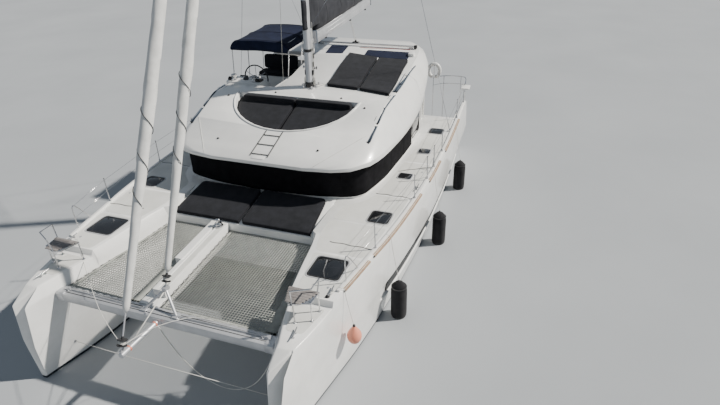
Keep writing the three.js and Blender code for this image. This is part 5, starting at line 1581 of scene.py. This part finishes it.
def add_handrail(steel, grips, side, x0, x1):
    """A rail and its painted shadow: a second dark tube, inboard and lower, stands for the rail's shadow on
    the roof, with a band between the two, on feet.
    """
    count = max(2, round((x0 - x1) / 0.28))
    y = side * (2.53 - 0.03 * max(0, -x0 - 1))
    line = [on_roof(x, y, 0.055) for x in evenly(x0, x1, count)]
    # the rail, then its shadow on the roof painted as a second dark tube
    for shift in (0.0, HANDRAIL_SHADOW_GAP):
        steel.tube([p - Vector((0, side * shift, shift * HANDRAIL_SHADOW_FALL)) for p in line], 0.016, 12)
    band = ((0, 0.004), (HANDRAIL_SHADOW_GAP, 0.004), (HANDRAIL_SHADOW_GAP, 0.014), (0, 0.014))
    steel.skin([[p - Vector((0, side * a, a * HANDRAIL_SHADOW_FALL + b)) for a, b in band] for p in line])
    for p in line[::2]:
        grips.tube([p + Vector((0, side * 0.01, 0)), p - Vector((0, side * 0.11, 0.016))], ROD, 12)
        foot = Vector((0, side * 0.05, 0.055))
        grips.lathe(p - foot, foot, GRIP_FOOT, 12)


def add_traveller(dark, lines):
    """The traveller's end stops, car, sheave and control lines."""
    for y in (-1.22, 2.15):
        dark.box((-4.955, y - 0.045, 4.205), (-4.845, y + 0.045, 4.305))
    x, y = CAR.x, CAR.y
    dark.box((x - 0.05, y - 0.11, 4.288), (x + 0.05, y + 0.11, 4.318))
    dark.lathe((x, y - 0.03, 4.345), (0, 1, 0), SHEAVE, 20)
    for dx in (0.07, -0.07):
        near, far = -4.90 + dx * 0.7, -4.90 + dx
        lines.tube([(far, -1.18, TRACK_Z), (far, 0, TRACK_Z), (near, 0, CAR_LINE_Z)], THIN_ROPE, 6)
        lines.tube([(near, 0.2, CAR_LINE_Z), (far, 0.24, TRACK_Z), (far, 2.1, TRACK_Z)], THIN_ROPE, 6)


def make_roof_gear():
    dark, grips, steel, lines, white, red = (Shape() for _ in range(6))
    add_rungs(dark, white)
    for rail in HANDRAILS:
        add_handrail(steel, grips, *rail)
    for x, y in ROOF_EYES:
        dark.lathe(on_roof(x, y), UP, EYE, 16)
    for side in (1, -1):
        line = [on_roof(2.05 - 0.126 * k, side * (1.46 + 0.092 * k), 0.006) for k in range(11)]
        lines.tube(line, THIN_ROPE, 6)
    add_traveller(dark, lines)
    places = [0.3 + 0.19 * k for k in range(10)]
    red.tube([on_roof(-4.74 + 0.03 * math.sin(y * 3), y, 0.010) for y in places], 0.008, 8, 3)
    white.skin([[on_roof(*place) for place in ring] for ring in HOOD])
    dark.done("roof_dark_gear", "black", edge=0.003)
    # the handrails with their painted shadows, in one dark piece
    steel.done("roof_handrails_and_shadows", "slate")
    grips.done("roof_handrail_feet", "black", edge=0.001)
    lines.done("roof_lines", "rope")
    red.done("red_line", "red")
    white.done("roof_white_gear", "white", edge=0.008)
    for name, corners in ROOF_COVERS.items():
        draped(name, soft_corners(corners, 0.06), "navy", ("coachroof",), step=0.08, lift=0.014)


def make_lounge():
    """The white rim round the lounge, and its aft bolsters."""
    path = []
    for t in evenly(-math.pi / 2, math.pi / 2, 40):
        x, y = LOUNGE_X + LOUNGE_LONG * math.cos(t), LOUNGE_HALF * math.sin(t)
        out = 0.045 * math.cos(math.atan2(y, (x - LOUNGE_X) * 1.3))
        path.append(on_roof(x + out, y * 1.025, 0.006))
    Shape().tube(path, 0.022, 12).done("lounge_rim", "gelcoat")
    for name, side in SIDES:
        low, high = (-0.44, side * 0.80 - 0.78, 3.70), (-0.24, side * 0.80 + 0.78, 3.86)
        pillow(f"lounge_bolster_{name}", low, high, power=8)


# Helm: the console's screens as (middle across, length, width), winches, clutches and wheel
SCREENS = ((-0.26, 0.18, 0.28), (0.01, 0.14, 0.18), (0.21, 0.12, 0.14), (0.39, 0.12, 0.14))
COMPASS = ((0, 0.085), (0.02, 0.085), (0.05, 0.075), (0.075, 0.05), (0.088, 0.015))
HELM_Y = -2.10
HELM_WINCHES = ((-1.28, -1.78), (-1.28, -2.45))
HELM_WINCH = ((0, 0.095), (0.03, 0.095), (0.036, 0.078), (0.06, 0.066), (0.10, 0.064), (0.135, 0.075),
              (0.15, 0.082), (0.158, 0.078), (0.165, 0.04), (0.168, 0.02))
CLUTCHES_Y = (-1.68, -1.62, -1.56, -2.55, -2.60)
WHEEL_AT, WHEEL_RADIUS, WHEEL_GRIP = Vector((-1.96, HELM_Y, 3.79)), 0.39, 0.0195
HOOP_FOOT = ((0, 0.03), (0.006, 0.03), (0.012, 0.02), (0.05, 0.019), (0.055, 0.0155))


def make_helm_seat():
    shell = rounded(-3.06, -1.91, 0.44, 1.18, 0.06, 4)
    base = Shape().skin([[(x, y, z) for x, y in shell] for z in (3.103, 3.60)])
    base.done("helm_seat_base", "gelcoat", stands=("helm_seat",), edge=0.006)
    pillow("helm_seat_cushion", (-3.31, -2.53, 3.60), (-2.80, -1.29, 3.715), power=9)
    lean = Matrix.Rotation(math.radians(-8), 3, "Y")
    pillow("helm_seat_back", (-3.36, -2.50, 3.72), (-3.235, -1.32, 4.17), power=9, turn=lean)


def add_console(screen, steel, dark):
    """Instruments, compass and engine levers."""
    slope = Matrix.Translation((-1.655, HELM_Y, 3.845)) @ Matrix.Rotation(math.radians(50.2), 4, "Y")
    for y, long, wide in SCREENS:
        ring = rounded(-0.01, y, long, wide, 0.02, 4)
        screen.skin([[slope @ Vector((px, py, z)) for px, py in ring] for z in (-0.01, 0.018)])
    screen.lathe((-1.36, HELM_Y, 3.925), UP, COMPASS, 24)
    for y in (-1.80, -1.74):
        steel.tube([(-1.62, y, 3.86), (-1.60, y, 3.93), (-1.63, y, 3.99)], ROD, 12, 3)
        dark.lathe((-1.63, y, 3.985), UP, [(0, 0.012), (0.01, 0.02), (0.03, 0.02), (0.04, 0.01)], 14)


def add_helm_winches(steel, dark, ropes):
    """Winches with their turns of rope, the rope clutches, and a coil on the sole."""
    for x, y in HELM_WINCHES:
        z = land(("helm_station",), (x, y, ABOVE)).z
        steel.lathe((x, y, z), UP, HELM_WINCH, 28)
        for k in range(3):
            ropes.tube(circle((x, y, z + 0.075 + 0.013 * k), (0.073, 0, 0), (0, 0.073, 0), 18), ROPE, 6)
        tail = [(x + 0.02, y + 0.073, z + 0.08), (x + 0.10, y + 0.06, z + 0.06), (-1.10, y + 0.05, z + 0.03)]
        ropes.tube(tail, ROPE, 6, 3)
    for y in CLUTCHES_Y:
        z = land(("helm_station",), (-1.25, y, ABOVE)).z
        dark.box((-1.40, y - 0.018, z), (-1.20, y + 0.018, z + 0.055))
        dark.box((-1.30, y - 0.014, z + 0.05), (-1.22, y + 0.014, z + 0.085))
        tail = [(-1.42, y, z + 0.028), (-1.50, y + 0.02, z + 0.022), (-1.53, y + 0.01, z - 0.03)]
        ropes.tube(tail, ROPE, 6, 4)
    for k in range(3):
        middle = (-1.86 + 0.01 * k, -1.30, 3.112 + 0.012 * k)
        ropes.tube(circle(middle, (0.10, 0, 0), (0, 0.13, 0), 20), ROPE, 6)


def make_helm():
    dark, steel, screen, ropes, wheel, feet = (Shape() for _ in range(6))
    make_helm_seat()
    add_console(screen, steel, dark)
    add_helm_winches(steel, dark, ropes)
    wheel.tube(circle(WHEEL_AT, (0, WHEEL_RADIUS, 0), (0, 0, WHEEL_RADIUS), 48), WHEEL_GRIP, 14)
    hub = [(0, 0.05), (0.006, 0.048), (0.012, 0.03), (0.015, 0.01)]
    wheel.lathe(WHEEL_AT - Vector((0.03, 0, 0)), (-1, 0, 0), hub, 24)
    wheel.done("helm_wheel_grip", "black", "helm_wheel")
    steel.done("helm_metal", "steel", edge=0.001)
    dark.done("helm_dark_gear", "black", edge=0.003)
    screen.done("helm_instruments", "glass", edge=0.003)
    ropes.done("helm_ropes", "rope")
    for x in HOOPS_X:
        feet.lathe((x, -2.885, 3.33), (0, 0.015, 0.27), HOOP_FOOT, 14)
        feet.lathe((x, -1.0, 3.86), (0, 0.005, 0.34), HOOP_FOOT, 14)
    feet.done("bimini_feet", "steel", edge=0.001)


# Cockpit and saloon: the cushions as corners in plan, the soles' outlines, and the engine rooms
SEAT_CUSHIONS = (((-6.12, -1.42), (-5.55, 0.30)), ((-6.12, 0.34), (-5.55, 1.62)),
                 ((-5.50, 1.68), (-4.62, 2.22)), ((-4.58, 1.68), (-3.95, 2.22)))
SOLES = {
    "cockpit_sole": ([(-3.10, -1.80), (-6.10, -1.80), (-6.10, 1.60), (-3.10, 1.60)], 0.5),
    "saloon_sole": ([(-2.88, -2.0), (-2.88, 1.3), (1.3, 1.3), (1.3, -1.6)], 0.6),
}
DOOR_AFT, DOOR_FORE = -3.048, -3.0405
WINDOW_Y = 2.8355
ENGINE_Y, MOTOR_Y, MOTOR_Z = 2.94, 2.89, 0.762


def make_door_frame():
    """The frame bars and the handle, which ride with the sliding door."""
    door = Shape()
    for y in (-0.875, 0.045):
        door.box((DOOR_AFT, y, 1.262), (DOOR_FORE, y + 0.03, 3.016))
    for z in (1.262, 2.98):
        door.box((DOOR_AFT, -0.87, z), (DOOR_FORE, 0.07, z + 0.036))
    handle = ((-3.055, 2.05), (-3.075, 2.10), (-3.075, 2.40), (-3.055, 2.45))
    door.tube([(x, -0.80, z) for x, z in handle], ROD, 12, 3)
    door.done("door_frame", "alloy", "saloon_door", edge=0.002)


def make_window_trim():
    """Frames round the aft side windows of the cabin."""
    trim = Shape()
    loop, hole = rounded(-2.39, 2.64, 0.82, 0.62, 0.06, 4), rounded(-2.39, 2.64, 0.76, 0.56, 0.04, 4)
    sections = ((loop, -0.003), (loop, 0.002), (hole, 0.002), (hole, -0.003), (loop, -0.003))
    for side in (1, -1):
        trim.skin([[(x, side * (WINDOW_Y + out), z) for x, z in line] for line, out in sections], caps=False)
    trim.done("window_trim", "black", edge=0.001)


def make_engine_room(name, side):
    """The tread and pull on the engine hatch, and what makes the block read as an engine."""
    lid, y = f"engine_hatch_{name}", side * ENGINE_Y
    tread = Shape().plate(rounded(-5.29, y, 0.74, 0.78, 0.05), 1.458, 1.462)
    tread.done(f"{lid}_tread", "teak", lid, edge=0.001)
    pull = Shape().lathe((-5.60, y, 1.459), UP, [(0, 0.03), (0.006, 0.03), (0.008, 0.02)], 18)
    pull.done(f"{lid}_pull", "steel", lid, edge=0.001)
    motor, middle = Shape(), side * MOTOR_Y
    for k in range(5):
        x = -5.52 + 0.11 * k
        motor.box((x, middle - 0.20, MOTOR_Z), (x + 0.06, middle + 0.20, MOTOR_Z + 0.02))
    pipe = ((-5.50, 0.765), (-5.50, 0.83), (-5.20, 0.85), (-5.02, 0.765))
    motor.tube([(x, side * 2.72, z) for x, z in pipe], 0.03, 14, 5)
    filler = [(0, 0.07), (0.06, 0.07), (0.07, 0.05), (0.09, 0.05), (0.095, 0.02)]
    motor.lathe((-5.15, side * 3.0, MOTOR_Z), UP, filler, 20)
    motor.done(f"engine_top_{name}", "black", edge=0.004)


def make_cockpit():
    for i, ((x0, y0), (x1, y1)) in enumerate(SEAT_CUSHIONS):
        top = land(("cockpit_seats",), ((x0 + x1) / 2, (y0 + y1) / 2, 3)).z
        pillow(f"cockpit_cushion_{i + 1}", (x0, y0, top - 0.002), (x1, y1, top + 0.10), power=10, cuts=11)
    make_door_frame()
    make_window_trim()
    for name, (corners, step) in SOLES.items():
        draped(name, soft_corners(corners, 0.08), "teak", ("bridgedeck",), step=step, start=1.6)
    for name, side in SIDES:
        make_engine_room(name, side)


make_camera()
make_stage()
dress_frame()
make_soft_goods()
make_deck()
make_rig()
make_roof_gear()
make_lounge()
make_helm()
make_cockpit()
